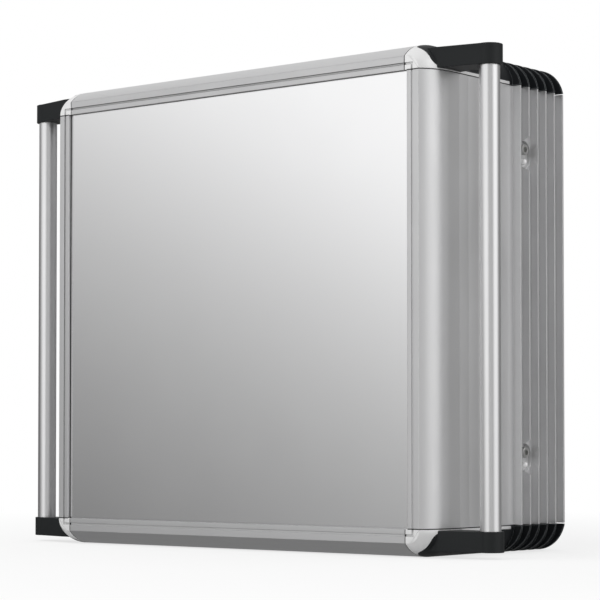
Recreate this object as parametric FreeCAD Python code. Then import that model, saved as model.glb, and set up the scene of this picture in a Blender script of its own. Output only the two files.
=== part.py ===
import FreeCAD, Part
import math
import os
from FreeCAD import Vector

os.makedirs("parts", exist_ok=True)

# Console enclosure, in millimetres. X to the right, Y to the back, Z up.
# The origin is below the middle of the enclosure, on the surface it stands on.
# Sections are drawn with u, outwards from the edge of the front strip,
# and v, backwards from the front plane of the frame.

# Frame sizes, seen from the front
FRAME_WIDTH = 436.0         # between the outer edges of the two upright front strips
FRAME_HEIGHT = 420.0        # between the outer edges of the level front strips
DEPTH = 199.0               # front plane to the back of the last cooling fin
RISE = 12.5                 # how far the outer wall stands outside the front strip
BAND_RADIUS = 39.0          # convex band between the front strip and the outer wall
CORNER_RADIUS = 24.5        # outer corners of the housing
SEAM_STEP = 2.6             # straight run between the corner round and the level profiles

# Aluminium profiles
SKIN = 3.0
LIP_WIDTH = 12.4            # front strip, measured inwards from its outer edge
LIP_THICK = 2.4
GROOVE_FROM_EDGE = 6.0
GROOVE_WIDTH = 1.9
GROOVE_DEPTH = 1.0
RIB_THICK = 2.0             # inner walls of the front chamber
RIB_FROM_EDGE = 2.4
CHAMBER_DEPTH = 31.0
CHANNEL_U = -0.2            # screw channels, from the edge of the front strip
CHANNEL_FRONT_V = 21.0
CHANNEL_OUTER_R = 4.1
CHANNEL_BORE_R = 1.8
FLANGE_THICK = 2.5          # stop for the rear door
LINE_FIRST = 43.2           # first of the shallow lines along the outer walls
LINE_DEPTH = 0.4
LINE_CLEAR = 14.4           # least distance of a line from the first fin
RIM_LENGTH = 12.0           # thicker rear edge, in front of the door stop
NOSE_WALL_V = 8.0           # how far back the corner's nose is solid

# Cooling fins on the side profiles
FIN_COUNT = 6
FIN_PITCH = 14.0
FIN_THICK = 2.0
FIN_HEIGHT = 8.0
RIB_LEVEL = 2.5             # level run where the ribs of a cap meet its top

# Corner pieces
GASKET = 0.8
END_PLATE = 2.7             # edge of the corner casting that shows beside the wall
NOSE_DEPTH = 10.0           # front nose before the black bracket starts
NOSE_ROUND = 7.0
CAST_TO_FIN = 4.8           # from the casting's outer rear edge to the first fin
BLACK_GAP = 0.15

# Handles
TUBE_RADIUS = 9.0
TUBE_WALL = 2.0
TUBE_OFFSET = 38.6          # tube axis, outside the side wall
TUBE_V = 33.2
CAP_RADIUS = 11.4
CAP_TOP_DROP = 5.6          # below the top of the housing
CAP_UNDER = 0.95            # underside, above the end of the side profile
SOCKET_DEPTH = 9.0
BRACKET_DEPTH = 46.0
ARM_FRONT_V = 14.0
PLUG_LENGTH = 14.0
HANDLE_SCREW_R = 2.5
HANDLE_SCREW_LENGTH = 20.0
HANDLE_DRIVE_FLATS = 3.0
HANDLE_DRIVE_DEPTH = 2.2
TUBE_SLACK = 0.1
ARM_ROOT = 16.0             # how far the arm runs in behind the corner's outer wall

# Front plate
PLATE_THICK = 3.0
PLATE_RECESS = 3.0
PLATE_GAP = 0.3
SEAL_SETBACK = 2.0
CLAMP_LENGTH = 36.0
CLAMP_WIDTH = 12.0
CLAMP_DEPTH = 8.0

# Milled pockets in the fins, and the rails inside that they fasten
POCKET_FROM_MIDDLE = 137.0
POCKET_LENGTH = 24.5
POCKET_WIDTH = 19.0
POCKET_DEPTH = 3.5          # below the outer wall
FLARE_LENGTH = 33.0         # at the tips of the fins
FLARE_WIDTH = 22.0
POCKET_SETBACK = 3.2        # behind the middle of the second fin
PAD_THICK = 9.0             # wall behind the pockets
SCREW_ABOVE = 4.5
PIN_BELOW = 6.5
RAIL_SCREW_R = 3.0
RAIL_HEAD_R = 4.8
RAIL_HEAD_HEIGHT = 5.0
RAIL_DRIVE_FLATS = 5.0
RAIL_DRIVE_DEPTH = 3.0
NUT_FLATS = 10.0
NUT_HEIGHT = 5.0
THREAD_END = 2.0            # how far a screw or pin stands out of what it passes
PIN_RADIUS = 2.75
PIN_HEIGHT = 6.0            # above the pocket's floor
RAIL_SHEET = 2.0
RAIL_DEPTH = 15.0
RAIL_WIDTH = 24.0
RAIL_LENGTH = 340.0

# Rear door
DOOR_THICK = 6.0
DOOR_SHEET = 2.0
DOOR_GAP = 2.5
DOOR_RIM = 10.5
DOOR_SEAL = 0.8
DOOR_SEAL_GAP = 0.2
DOOR_SEAL_WIDTH = 6.0
DOOR_SEAL_SETBACK = 1.0
HINGE_PIN_R = 1.6
HINGE_RUNNING_GAP = 0.05
HINGE_PIN_LENGTH = 30.0
HINGE_RELIEF = 4.5          # notch round each pin, so that the open door clears the corner

# Quarter-turn latches
LATCH_INSET = 21.5          # latch axis, inwards from the door's edge
LATCH_FROM_MIDDLE = 110.0
LATCH_FLANGE_R = 12.0
LATCH_NUT_FLATS = 21.5
LATCH_BODY_R = 9.5
LATCH_CORE_R = 6.0
LATCH_PROUD = 1.5
LATCH_GAP = 0.05
CAM_LENGTH = 19.0
CAM_WIDTH = 12.0
CAM_THICK = 3.0
CAM_GAP = 2.4               # in front of the screw channel that it grips
CAM_HUB_LENGTH = 5.0        # spindle between cam and housing
KEY_REACH = 4.5             # corners of the three-sided key recess
KEY_DEPTH = 7.0
CORE_SINK = 0.6
LATCH_NUT_HEIGHT = 5.0

# Small fasteners
SMALL_SCREW_R = 1.8
SMALL_HEAD_R = 3.2
SMALL_HEAD_HEIGHT = 2.6
CORNER_SCREW_LENGTH = 16.0
HOLE_SLACK = 0.2            # clearance holes, on the radius

# Values worked out from the sizes above
EDGE_X = FRAME_WIDTH / 2
WALL_X = EDGE_X + RISE
TOP = FRAME_HEIGHT + 2 * RISE
MIDDLE_Z = TOP / 2
CENTRE_X = WALL_X - CORNER_RADIUS
CENTRE_Z = TOP - CORNER_RADIUS
SEAM_X = CENTRE_X - SEAM_STEP
EDGE_R = CORNER_RADIUS - RISE
BAND_RUN = math.sqrt(BAND_RADIUS ** 2 - (BAND_RADIUS - RISE) ** 2)
FIN_FIRST = DEPTH - FIN_THICK - (FIN_COUNT - 1) * FIN_PITCH
CAST_DEPTH = FIN_FIRST - CAST_TO_FIN
TIP_X = WALL_X + FIN_HEIGHT
MID_V = (DEPTH + LATCH_PROUD) / 2
DOOR_FRONT = DEPTH - DOOR_THICK
FLANGE_BACK = DOOR_FRONT - DOOR_SEAL - DOOR_SEAL_GAP
FLANGE_FRONT = FLANGE_BACK - FLANGE_THICK
CHANNEL_REAR_V = FLANGE_FRONT - CHANNEL_OUTER_R + 0.6
CAM_V = CHANNEL_REAR_V - CHANNEL_OUTER_R - CAM_GAP - CAM_THICK
WINDOW_X = EDGE_X - RIB_FROM_EDGE - RIB_THICK
WINDOW_TOP = RISE + FRAME_HEIGHT - RIB_FROM_EDGE - RIB_THICK
OPENING_X = EDGE_X - LIP_WIDTH
OPENING_TOP = RISE + FRAME_HEIGHT - LIP_WIDTH
RIM_X = WALL_X - 2 * SKIN
PAD_X = WALL_X - PAD_THICK
POCKET_V = FIN_FIRST + FIN_PITCH + FIN_THICK / 2 + POCKET_SETBACK
TUBE_X = WALL_X + TUBE_OFFSET
HINGE_V = DOOR_FRONT + DOOR_THICK / 2
DOOR_X = RIM_X - DOOR_GAP
HINGE_X = DOOR_X - DOOR_THICK / 2
LATCH_X = DOOR_X - LATCH_INSET
DOOR_CORNER = CORNER_RADIUS - 2 * SKIN - DOOR_GAP


def at(x, v, z):
    """Point at depth v behind the front plane."""
    return Vector(x, v - MID_V, z)


def box(x0, x1, v0, v1, z0, z1):
    """Box between two corners."""
    return Part.makeBox(x1 - x0, v1 - v0, z1 - z0, at(x0, v0, z0))


def rod(radius, start, end):
    """Round bar between two points."""
    return Part.makeCylinder(radius, (end - start).Length, start, end - start)


def cone(r0, r1, start, end):
    """Tapered round bar between two points."""
    return Part.makeCone(r0, r1, (end - start).Length, start, end - start)


def hexagon(flats, start, end):
    """Six-sided bar between two points, sized over its flats."""
    axis = (end - start).normalize()
    side = axis.cross(Vector(0, 0, 1))
    if side.Length < 0.5:
        side = Vector(1, 0, 0)
    side.normalize()
    other = axis.cross(side)
    reach = flats / math.sqrt(3)
    points = []
    for step in range(7):
        turn = math.radians(60 * step + 30)
        points.append(start + side * (reach * math.cos(turn)) + other * (reach * math.sin(turn)))
    return Part.Face(Part.makePolygon(points)).extrude(axis * (end - start).Length)


def fuse(shapes):
    """One solid from overlapping or touching solids."""
    joined = shapes[0].fuse(shapes[1:])
    return joined.removeSplitter()


def mirror_x(shape):
    """Left-hand copy of a right-hand shape."""
    return shape.mirror(Vector(0, 0, 0), Vector(1, 0, 0))


def mirror_z(shape):
    """Lower copy of an upper shape."""
    return shape.mirror(Vector(0, 0, MIDDLE_Z), Vector(0, 0, 1))


def save(name, *shapes):
    """Write one node, as one solid or a group of separate solids."""
    solids = []
    for shape in shapes:
        solids.extend(shape.Solids)
    node = solids[0] if len(solids) == 1 else Part.makeCompound(solids)
    node.exportStep("parts/" + name + ".step")


def save_corners(name, shape):
    """Write the four mirrored copies of a top right shape."""
    save(name + "_top_right", shape)
    save(name + "_top_left", mirror_x(shape))
    save(name + "_bottom_right", mirror_z(shape))
    save(name + "_bottom_left", mirror_x(mirror_z(shape)))


def all_corners(shape):
    """The four mirrored copies of a top right shape."""
    lower = mirror_z(shape)
    return [shape, mirror_x(shape), lower, mirror_x(lower)]


# Outline of the band, shared by the profiles and the corner pieces

def band_u(v, inset):
    """Distance u of the wall's surface, or of a surface inset behind it, at depth v."""
    if v >= BAND_RUN:
        return RISE - inset
    radius = BAND_RADIUS - inset
    return RISE - BAND_RADIUS + math.sqrt(radius ** 2 - (BAND_RUN - v) ** 2)


def band_arc(v, inset):
    """Arc of the band from depth v to where it meets the flat wall."""
    halfway = (v + BAND_RUN) / 2
    return Part.Arc(Vector(band_u(v, inset), v, 0),
                    Vector(band_u(halfway, inset), halfway, 0),
                    Vector(RISE - inset, BAND_RUN, 0)).toShape()


def outline(pieces):
    """Closed wire from points and ready edges, joined by straight lines."""
    edges = []
    first = None
    last = None
    for piece in pieces:
        if isinstance(piece, Part.Edge):
            start = piece.valueAt(piece.FirstParameter)
            end = piece.valueAt(piece.LastParameter)
        else:
            start = Vector(piece[0], piece[1], 0)
            end = start
        if last is not None and last.distanceToPoint(start) > 1e-6:
            edges.append(Part.makeLine(last, start))
        if isinstance(piece, Part.Edge):
            edges.append(piece)
        if first is None:
            first = start
        last = end
    edges.append(Part.makeLine(last, first))
    return Part.Wire(edges)


# Profiles

def wall_lines():
    """Shallow lines along the outer wall."""
    points = []
    count = int((FIN_FIRST - LINE_CLEAR - LINE_FIRST) / FIN_PITCH) + 1
    for index in range(count):
        v = LINE_FIRST + index * FIN_PITCH
        points += [(RISE, v - LINE_DEPTH), (RISE - LINE_DEPTH, v), (RISE, v + LINE_DEPTH)]
    return points


def fin_points():
    """Outline of the cooling fins."""
    points = []
    tip = RISE + FIN_HEIGHT
    for index in range(FIN_COUNT):
        v = FIN_FIRST + index * FIN_PITCH
        points += [(RISE, v), (tip, v), (tip, v + FIN_THICK)]
        if index < FIN_COUNT - 1:
            points.append((RISE, v + FIN_THICK))
    return points


def profile_face(fins):
    """Section of an aluminium profile, with or without the cooling fins and pads."""
    rib_in = -RIB_FROM_EDGE - RIB_THICK
    rib_out = -RIB_FROM_EDGE
    inner = RISE - SKIN
    rim = RISE - 2 * SKIN
    rim_start = FLANGE_FRONT - RIM_LENGTH
    groove_in = -GROOVE_FROM_EDGE - GROOVE_WIDTH
    pieces = [(-LIP_WIDTH, 0), (groove_in, 0), (groove_in, GROOVE_DEPTH),
              (-GROOVE_FROM_EDGE, GROOVE_DEPTH), (-GROOVE_FROM_EDGE, 0), (0, 0),
              band_arc(0, 0)]
    pieces += wall_lines()
    pieces += fin_points() if fins else [(RISE, DEPTH)]
    pieces += [(rim, DEPTH), (rim, FLANGE_BACK), (rib_in, FLANGE_BACK),
               (rib_in, FLANGE_FRONT), (rim, FLANGE_FRONT), (rim, rim_start + SKIN),
               (inner, rim_start)]
    if fins:
        pad = RISE - PAD_THICK
        pad_front = POCKET_V - RAIL_WIDTH / 2 - 1
        pad_back = POCKET_V + RAIL_WIDTH / 2 + 1
        pieces += [(inner, pad_back), (pad, pad_back), (pad, pad_front), (inner, pad_front)]
    pieces += [(inner, CHAMBER_DEPTH), (rib_in, CHAMBER_DEPTH), (rib_in, LIP_THICK),
               (-LIP_WIDTH, LIP_THICK)]
    chamber_front = LIP_THICK + 1
    chamber = [(rib_out, chamber_front), band_arc(chamber_front, SKIN),
               (inner, CHAMBER_DEPTH - RIB_THICK), (rib_out, CHAMBER_DEPTH - RIB_THICK)]
    return Part.Face([outline(pieces), outline(chamber)])


def profile_bar(length, fins):
    """Profile standing on z = 0 along +Z, with its two screw channels."""
    bar = profile_face(fins).extrude(Vector(0, 0, length))
    top = Vector(0, 0, length)
    for v in (CHANNEL_FRONT_V, CHANNEL_REAR_V):
        start = Vector(CHANNEL_U, v, 0)
        bar = bar.fuse(rod(CHANNEL_OUTER_R, start, start + top))
    for v in (CHANNEL_FRONT_V, CHANNEL_REAR_V):
        start = Vector(CHANNEL_U, v, 0)
        bar = bar.cut(rod(CHANNEL_BORE_R, start, start + top))
    return bar


def obround(x, length, width, middle_z):
    """Upright slot outline in the plane X = x, at the pockets' depth."""
    half = width / 2
    straight = length / 2 - half
    low = middle_z - straight
    high = middle_z + straight
    top = Part.Arc(at(x, POCKET_V + half, high), at(x, POCKET_V, high + half),
                   at(x, POCKET_V - half, high)).toShape()
    bottom = Part.Arc(at(x, POCKET_V - half, low), at(x, POCKET_V, low - half),
                      at(x, POCKET_V + half, low)).toShape()
    front = Part.makeLine(at(x, POCKET_V - half, high), at(x, POCKET_V - half, low))
    back = Part.makeLine(at(x, POCKET_V + half, low), at(x, POCKET_V + half, high))
    return Part.Wire([top, front, bottom, back])


def pocket_heights():
    """Middle of the lower and the upper pocket."""
    return [MIDDLE_Z - POCKET_FROM_MIDDLE, MIDDLE_Z + POCKET_FROM_MIDDLE]


def pocket_cut(middle_z):
    """Milled pocket with its flared mouth and its two holes."""
    floor_x = WALL_X - POCKET_DEPTH
    slot = Part.Face(obround(floor_x, POCKET_LENGTH, POCKET_WIDTH, middle_z))
    slot = slot.extrude(Vector(POCKET_DEPTH + FIN_HEIGHT, 0, 0))
    flare = Part.makeLoft([obround(WALL_X, POCKET_LENGTH, POCKET_WIDTH, middle_z),
                           obround(TIP_X + 0.5, FLARE_LENGTH, FLARE_WIDTH, middle_z)],
                          True, True)
    screw_z = middle_z + SCREW_ABOVE
    pin_z = middle_z - PIN_BELOW
    hole = rod(RAIL_SCREW_R + HOLE_SLACK, at(PAD_X - 1, POCKET_V, screw_z),
               at(floor_x + 1, POCKET_V, screw_z))
    pin_hole = rod(PIN_RADIUS, at(PAD_X - 1, POCKET_V, pin_z), at(floor_x + 1, POCKET_V, pin_z))
    return [slot, flare, hole, pin_hole]


def clamp_places():
    """Middle of a clamp on the right-hand and on the top inner wall, and its direction."""
    return [(at(WINDOW_X, 0, MIDDLE_Z + FRAME_HEIGHT / 4), Vector(1, 0, 0)),
            (at(FRAME_WIDTH / 4, 0, WINDOW_TOP), Vector(0, 0, 1))]


def clamp_screw_v():
    """Depth of the screws that hold the plate's clamps."""
    return PLATE_RECESS + PLATE_THICK + CLAMP_DEPTH / 2


def clamp_hole(place):
    """Threaded hole through the inner wall of a profile."""
    middle, way = place
    start = middle + Vector(0, clamp_screw_v(), 0)
    return rod(SMALL_SCREW_R, start - way, start + way * RIB_THICK)


def side_profile():
    """Right-hand profile between the corner pieces."""
    low = CORNER_RADIUS + GASKET
    length = TOP - 2 * low
    bar = profile_bar(length, True)
    bar.translate(at(EDGE_X, 0, low))
    upper_hole = clamp_hole(clamp_places()[0])
    cuts = [upper_hole, mirror_z(upper_hole)]
    for z in pocket_heights():
        cuts += pocket_cut(z)
    return bar.cut(cuts).removeSplitter()


def level_profile():
    """Top profile between the corner pieces."""
    half = SEAM_X - GASKET
    bar = profile_bar(2 * half, False).removeSplitter()
    turn = FreeCAD.Matrix(0, 0, -1, half,
                          0, 1, 0, -MID_V,
                          1, 0, 0, RISE + FRAME_HEIGHT,
                          0, 0, 0, 1)
    bar.transformShape(turn, True)
    hole = clamp_hole(clamp_places()[1])
    return bar.cut([hole, mirror_x(hole)])


# Corner pieces, all built for the top right corner

def corner_sweep(pieces):
    """Section in r and v, taken round the corner and on to the level profile's seam."""
    wire = outline(pieces)
    face = Part.Face(wire)
    face.translate(at(CENTRE_X, 0, CENTRE_Z))
    axis_point = Vector(CENTRE_X, 0, CENTRE_Z)
    round_part = face.revolve(axis_point, Vector(0, -1, 0), 90)
    face.rotate(axis_point, Vector(0, -1, 0), 90)
    straight = face.extrude(Vector(-SEAM_STEP, 0, 0))
    return round_part.fuse(straight).removeSplitter()


def r_arc(v, inset, forward=True):
    """Arc of the band as a radius from the corner's centre, forwards or backwards."""
    halfway = (v + BAND_RUN) / 2
    ends = [Vector(EDGE_R + band_u(v, inset), v, 0),
            Vector(EDGE_R + band_u(halfway, inset), halfway, 0),
            Vector(CORNER_RADIUS - inset, BAND_RUN, 0)]
    if not forward:
        ends.reverse()
    return Part.Arc(ends[0], ends[1], ends[2]).toShape()


def layer(inset_out, inset_in, v0, v1):
    """Section of a skin layer between two insets, from depth v0 to v1."""
    out_r = CORNER_RADIUS - inset_out
    in_r = CORNER_RADIUS - inset_in
    if v0 >= BAND_RUN:
        return [(in_r, v0), (out_r, v0), (out_r, v1), (in_r, v1)]
    return [r_arc(v0, inset_out), (out_r, v1), (in_r, v1), r_arc(v0, inset_in, False)]


def rounded_zone(gap, v_end):
    """Room behind the nose for the black pieces, with its two rounded front edges."""
    front = NOSE_DEPTH + gap
    low = END_PLATE + gap
    far = 2 * CORNER_RADIUS
    radius = NOSE_ROUND
    slope = radius * (1 - math.sqrt(0.5))

    def rounded_plan(start):
        """Outline in depth and one cross direction, as (v, across) points."""
        bend = Part.Arc(Vector(front, start + radius, 0),
                        Vector(front + slope, start + slope, 0),
                        Vector(front + radius, start, 0)).toShape()
        return outline([(front, far), bend, (v_end, start), (v_end, far)])

    over_side = Part.Face(rounded_plan(low))
    over_side.transformShape(FreeCAD.Matrix(0, 0, 1, SEAM_X,
                                            1, 0, 0, -MID_V,
                                            0, 1, 0, CENTRE_Z,
                                            0, 0, 0, 1), True)
    over_side = over_side.extrude(Vector(far, 0, 0))
    over_top = Part.Face(rounded_plan(low))
    over_top.transformShape(FreeCAD.Matrix(0, 1, 0, SEAM_X,
                                           1, 0, 0, -MID_V,
                                           0, 0, -1, CENTRE_Z,
                                           0, 0, 0, 1), True)
    over_top = over_top.extrude(Vector(0, 0, far))
    return over_side.common(over_top)


def corner_hull():
    """Section of everything inside the corner casting's outside."""
    return [(0, 0), r_arc(0, 0), (CORNER_RADIUS, CAST_DEPTH),
            (CORNER_RADIUS - SKIN, CAST_DEPTH), (CORNER_RADIUS - SKIN, FLANGE_FRONT),
            (0, FLANGE_FRONT)]


def corner_screw_places():
    """Axes of the screws that hold a corner to its profiles, as start and direction."""
    places = []
    for v in (CHANNEL_FRONT_V, CHANNEL_REAR_V):
        places.append((at(EDGE_X + CHANNEL_U, v, CENTRE_Z + END_PLATE), Vector(0, 0, -1)))
        level = RISE + FRAME_HEIGHT + CHANNEL_U
        places.append((at(SEAM_X + END_PLATE, v, level), Vector(-1, 0, 0)))
    return places


def corner_piece():
    """Die-cast corner: nose, inner wall, end plates and door stop."""
    inner = CORNER_RADIUS - 2 * SKIN
    shell = corner_sweep([(0, 0), r_arc(0, 0), (CORNER_RADIUS, CAST_DEPTH),
                          (CORNER_RADIUS - SKIN, CAST_DEPTH), (CORNER_RADIUS - SKIN, DEPTH),
                          (inner, DEPTH), (inner, FLANGE_BACK), (0, FLANGE_BACK),
                          (0, FLANGE_FRONT), (inner, FLANGE_FRONT),
                          r_arc(NOSE_WALL_V, 2 * SKIN, False), (0, NOSE_WALL_V)])
    hull = corner_sweep(corner_hull())
    side_plate = hull.common(box(WINDOW_X, TIP_X, 0, FLANGE_FRONT, CENTRE_Z, CENTRE_Z + END_PLATE))
    top_plate = hull.common(box(SEAM_X, SEAM_X + END_PLATE, 0, FLANGE_FRONT, WINDOW_TOP, TOP))
    tab = box(SEAM_X, OPENING_X, 0, LIP_THICK, OPENING_TOP, CENTRE_Z)
    body = fuse([shell, side_plate, top_plate, tab])
    window = box(SEAM_X - 1, WINDOW_X, LIP_THICK, DEPTH + 1, OPENING_TOP - LIP_WIDTH, WINDOW_TOP)
    black = corner_sweep(layer(-1, SKIN, NOSE_DEPTH - 1, CAST_DEPTH + 1))
    black = black.common(rounded_zone(0, CAST_DEPTH + 1))
    groove_far_x = EDGE_X - GROOVE_FROM_EDGE
    groove_far_z = RISE + FRAME_HEIGHT - GROOVE_FROM_EDGE
    level_groove = box(SEAM_X - 1, groove_far_x, -1, GROOVE_DEPTH,
                       groove_far_z - GROOVE_WIDTH, groove_far_z)
    upright_groove = box(groove_far_x - GROOVE_WIDTH, groove_far_x, -1, GROOVE_DEPTH,
                         CENTRE_Z - 1, groove_far_z)
    cuts = [window, black, level_groove, upright_groove]
    for start, way in corner_screw_places():
        cuts.append(rod(SMALL_SCREW_R + HOLE_SLACK, start - way, start + way * (END_PLATE + 1)))
    cuts.append(rod(HINGE_PIN_R, at(HINGE_X, HINGE_V, CENTRE_Z), at(HINGE_X, HINGE_V, TOP)))
    return body.cut(cuts).removeSplitter()


def corner_seal():
    """Flat seals between the corner piece and the ends of its two profiles."""
    slack = 0.3
    rib_in = -RIB_FROM_EDGE - RIB_THICK
    back = FLANGE_FRONT - 1
    wall = RISE - 2 * SKIN
    face = Part.Face(outline([(slack - LIP_WIDTH, slack), (-slack, slack),
                              band_arc(slack + 0.5, slack), (RISE - slack, CAST_DEPTH),
                              (RISE - SKIN - slack, CAST_DEPTH), (RISE - SKIN - slack, back),
                              (rib_in, back), (rib_in, back - 2 * CHANNEL_OUTER_R),
                              (wall, back - 2 * CHANNEL_OUTER_R), (wall, CHAMBER_DEPTH),
                              (rib_in, CHAMBER_DEPTH), (rib_in, LIP_THICK),
                              (slack - LIP_WIDTH, LIP_THICK)]))
    holes = []
    for v in (CHANNEL_FRONT_V, CHANNEL_REAR_V):
        start = Vector(CHANNEL_U, v, -1)
        holes.append(rod(SMALL_SCREW_R + HOLE_SLACK, start, start + Vector(0, 0, GASKET + 2)))
    plate = face.extrude(Vector(0, 0, GASKET)).cut(holes)
    upright = plate.copy()
    upright.translate(at(EDGE_X, 0, CENTRE_Z - GASKET))
    level = plate.copy()
    level.transformShape(FreeCAD.Matrix(0, 0, -1, SEAM_X,
                                        0, 1, 0, -MID_V,
                                        1, 0, 0, RISE + FRAME_HEIGHT,
                                        0, 0, 0, 1), True)
    return [upright, level]


def small_screw(start, way, length):
    """Cap screw with its head seated at start and its shank along way."""
    head = rod(SMALL_HEAD_R, start - way * SMALL_HEAD_HEIGHT, start)
    shank = rod(SMALL_SCREW_R, start, start + way * length)
    return fuse([head, shank])


def corner_screws():
    """Screws of one corner."""
    return [small_screw(start, way, CORNER_SCREW_LENGTH) for start, way in corner_screw_places()]


def rib_cap():
    """Black corner cap whose ribs carry the fins round to the top."""
    front = BRACKET_DEPTH + 2 * BLACK_GAP
    plain = corner_sweep(layer(0, SKIN, front, CAST_DEPTH + BLACK_GAP))
    plain = plain.common(rounded_zone(BLACK_GAP, CAST_DEPTH + 1))
    finned = corner_sweep(layer(0, SKIN, CAST_DEPTH + BLACK_GAP, DEPTH))
    rib_end = CENTRE_X + RIB_LEVEL
    run = TIP_X - rib_end
    rib_radius = (run ** 2 + CORNER_RADIUS ** 2) / (2 * CORNER_RADIUS)
    rib_z = TOP - rib_radius
    halfway = (math.asin((CENTRE_Z - rib_z) / rib_radius) + math.pi / 2) / 2
    across = rib_radius * math.cos(halfway)
    up = rib_radius * math.sin(halfway)
    root = CORNER_RADIUS - 1
    root_reach = root * math.sqrt(0.5)
    solids = [plain, finned]
    for index in range(FIN_COUNT):
        v = FIN_FIRST + index * FIN_PITCH
        outer = Part.Arc(at(TIP_X, v, CENTRE_Z), at(rib_end + across, v, rib_z + up),
                         at(rib_end, v, TOP)).toShape()
        top = Part.makeLine(at(rib_end, v, TOP), at(CENTRE_X, v, TOP))
        down = Part.makeLine(at(CENTRE_X, v, TOP), at(CENTRE_X, v, CENTRE_Z + root))
        inner = Part.Arc(at(CENTRE_X, v, CENTRE_Z + root),
                         at(CENTRE_X + root_reach, v, CENTRE_Z + root_reach),
                         at(CENTRE_X + root, v, CENTRE_Z)).toShape()
        foot = Part.makeLine(at(CENTRE_X + root, v, CENTRE_Z), at(TIP_X, v, CENTRE_Z))
        rib = Part.Face(Part.Wire([outer, top, down, inner, foot]))
        solids.append(rib.extrude(Vector(0, FIN_THICK, 0)))
    return fuse(solids)


def handle_bracket():
    """Black bracket: nose set in the corner, arm, and socket for the tube."""
    low = CENTRE_Z + CAP_UNDER
    high = TOP - CAP_TOP_DROP
    zone = rounded_zone(BLACK_GAP, BRACKET_DEPTH + 2)
    nose = corner_sweep(layer(0, SKIN, NOSE_DEPTH, BRACKET_DEPTH)).common(zone)
    arm_start = WALL_X - ARM_ROOT
    nose_x = WALL_X - SKIN
    lean = math.atan2(ARM_FRONT_V - TUBE_V, TUBE_X - nose_x)
    reach = math.hypot(TUBE_X - nose_x, TUBE_V - ARM_FRONT_V)
    front_turn = lean - math.acos(CAP_RADIUS / reach) + math.pi
    touch_x = TUBE_X - CAP_RADIUS * math.cos(front_turn)
    touch_v = TUBE_V - abs(CAP_RADIUS * math.sin(front_turn))
    plan = [at(arm_start, ARM_FRONT_V, low), at(nose_x, ARM_FRONT_V, low),
            at(touch_x, touch_v, low), at(TUBE_X, TUBE_V, low),
            at(TUBE_X, TUBE_V + CAP_RADIUS, low), at(WALL_X, BRACKET_DEPTH, low),
            at(arm_start, BRACKET_DEPTH, low), at(arm_start, ARM_FRONT_V, low)]
    arm = Part.Face(Part.makePolygon(plan)).extrude(Vector(0, 0, high - low))
    guard = corner_sweep([(0, 0), r_arc(0, -BLACK_GAP),
                          (CORNER_RADIUS + BLACK_GAP, BRACKET_DEPTH + 1),
                          (0, BRACKET_DEPTH + 1)])
    arm = arm.cut(guard.cut(zone))
    cap = rod(CAP_RADIUS, at(TUBE_X, TUBE_V, low), at(TUBE_X, TUBE_V, high))
    body = fuse([nose, arm, cap])
    core = corner_sweep([(0, 0), r_arc(0, SKIN), (CORNER_RADIUS - SKIN, BRACKET_DEPTH + 1),
                         (0, BRACKET_DEPTH + 1)])
    socket = rod(TUBE_RADIUS + TUBE_SLACK, at(TUBE_X, TUBE_V, low - 1),
                 at(TUBE_X, TUBE_V, low + SOCKET_DEPTH))
    hole = rod(HANDLE_SCREW_R + HOLE_SLACK, at(TUBE_X, TUBE_V, low), at(TUBE_X, TUBE_V, high + 1))
    sink = cone(HANDLE_SCREW_R + HOLE_SLACK, 2 * HANDLE_SCREW_R + HOLE_SLACK,
                at(TUBE_X, TUBE_V, high - HANDLE_SCREW_R), at(TUBE_X, TUBE_V, high))
    return body.cut([core, socket, hole, sink]).removeSplitter()


def handle_tube():
    """Right-hand grip tube, seated in the sockets of both brackets."""
    top = CENTRE_Z + CAP_UNDER + SOCKET_DEPTH
    bottom = TOP - top
    tube = rod(TUBE_RADIUS, at(TUBE_X, TUBE_V, bottom), at(TUBE_X, TUBE_V, top))
    bore = rod(TUBE_RADIUS - TUBE_WALL, at(TUBE_X, TUBE_V, bottom - 1),
               at(TUBE_X, TUBE_V, top + 1))
    return tube.cut(bore)


def tube_plug():
    """Threaded plug in the top end of the right-hand tube."""
    top = CENTRE_Z + CAP_UNDER + SOCKET_DEPTH
    plug = rod(TUBE_RADIUS - TUBE_WALL, at(TUBE_X, TUBE_V, top - PLUG_LENGTH),
               at(TUBE_X, TUBE_V, top))
    return plug.cut(rod(HANDLE_SCREW_R, at(TUBE_X, TUBE_V, top - PLUG_LENGTH),
                        at(TUBE_X, TUBE_V, top)))


def handle_screw():
    """Countersunk screw from the top of the bracket into the plug."""
    high = TOP - CAP_TOP_DROP
    head = cone(HANDLE_SCREW_R, 2 * HANDLE_SCREW_R, at(TUBE_X, TUBE_V, high - HANDLE_SCREW_R),
                at(TUBE_X, TUBE_V, high - TUBE_SLACK))
    shank = rod(HANDLE_SCREW_R, at(TUBE_X, TUBE_V, high - HANDLE_SCREW_LENGTH),
                at(TUBE_X, TUBE_V, high - HANDLE_SCREW_R))
    drive = hexagon(HANDLE_DRIVE_FLATS, at(TUBE_X, TUBE_V, high - HANDLE_DRIVE_DEPTH),
                    at(TUBE_X, TUBE_V, high + 1))
    return fuse([head, shank]).cut(drive)


# Front plate

def front_plate():
    """Flat aluminium plate behind the front strips."""
    side = WINDOW_X - PLATE_GAP
    low = TOP - WINDOW_TOP + PLATE_GAP
    return box(-side, side, PLATE_RECESS, PLATE_RECESS + PLATE_THICK, low, TOP - low)


def front_seal():
    """Thin seal between the plate and the back of the strips."""
    out_x = WINDOW_X - PLATE_GAP
    out_low = TOP - WINDOW_TOP + PLATE_GAP
    in_x = OPENING_X + SEAL_SETBACK
    in_low = TOP - OPENING_TOP - SEAL_SETBACK
    ring = box(-out_x, out_x, LIP_THICK, PLATE_RECESS, out_low, TOP - out_low)
    return ring.cut(box(-in_x, in_x, 0, DEPTH, in_low, TOP - in_low))


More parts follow.
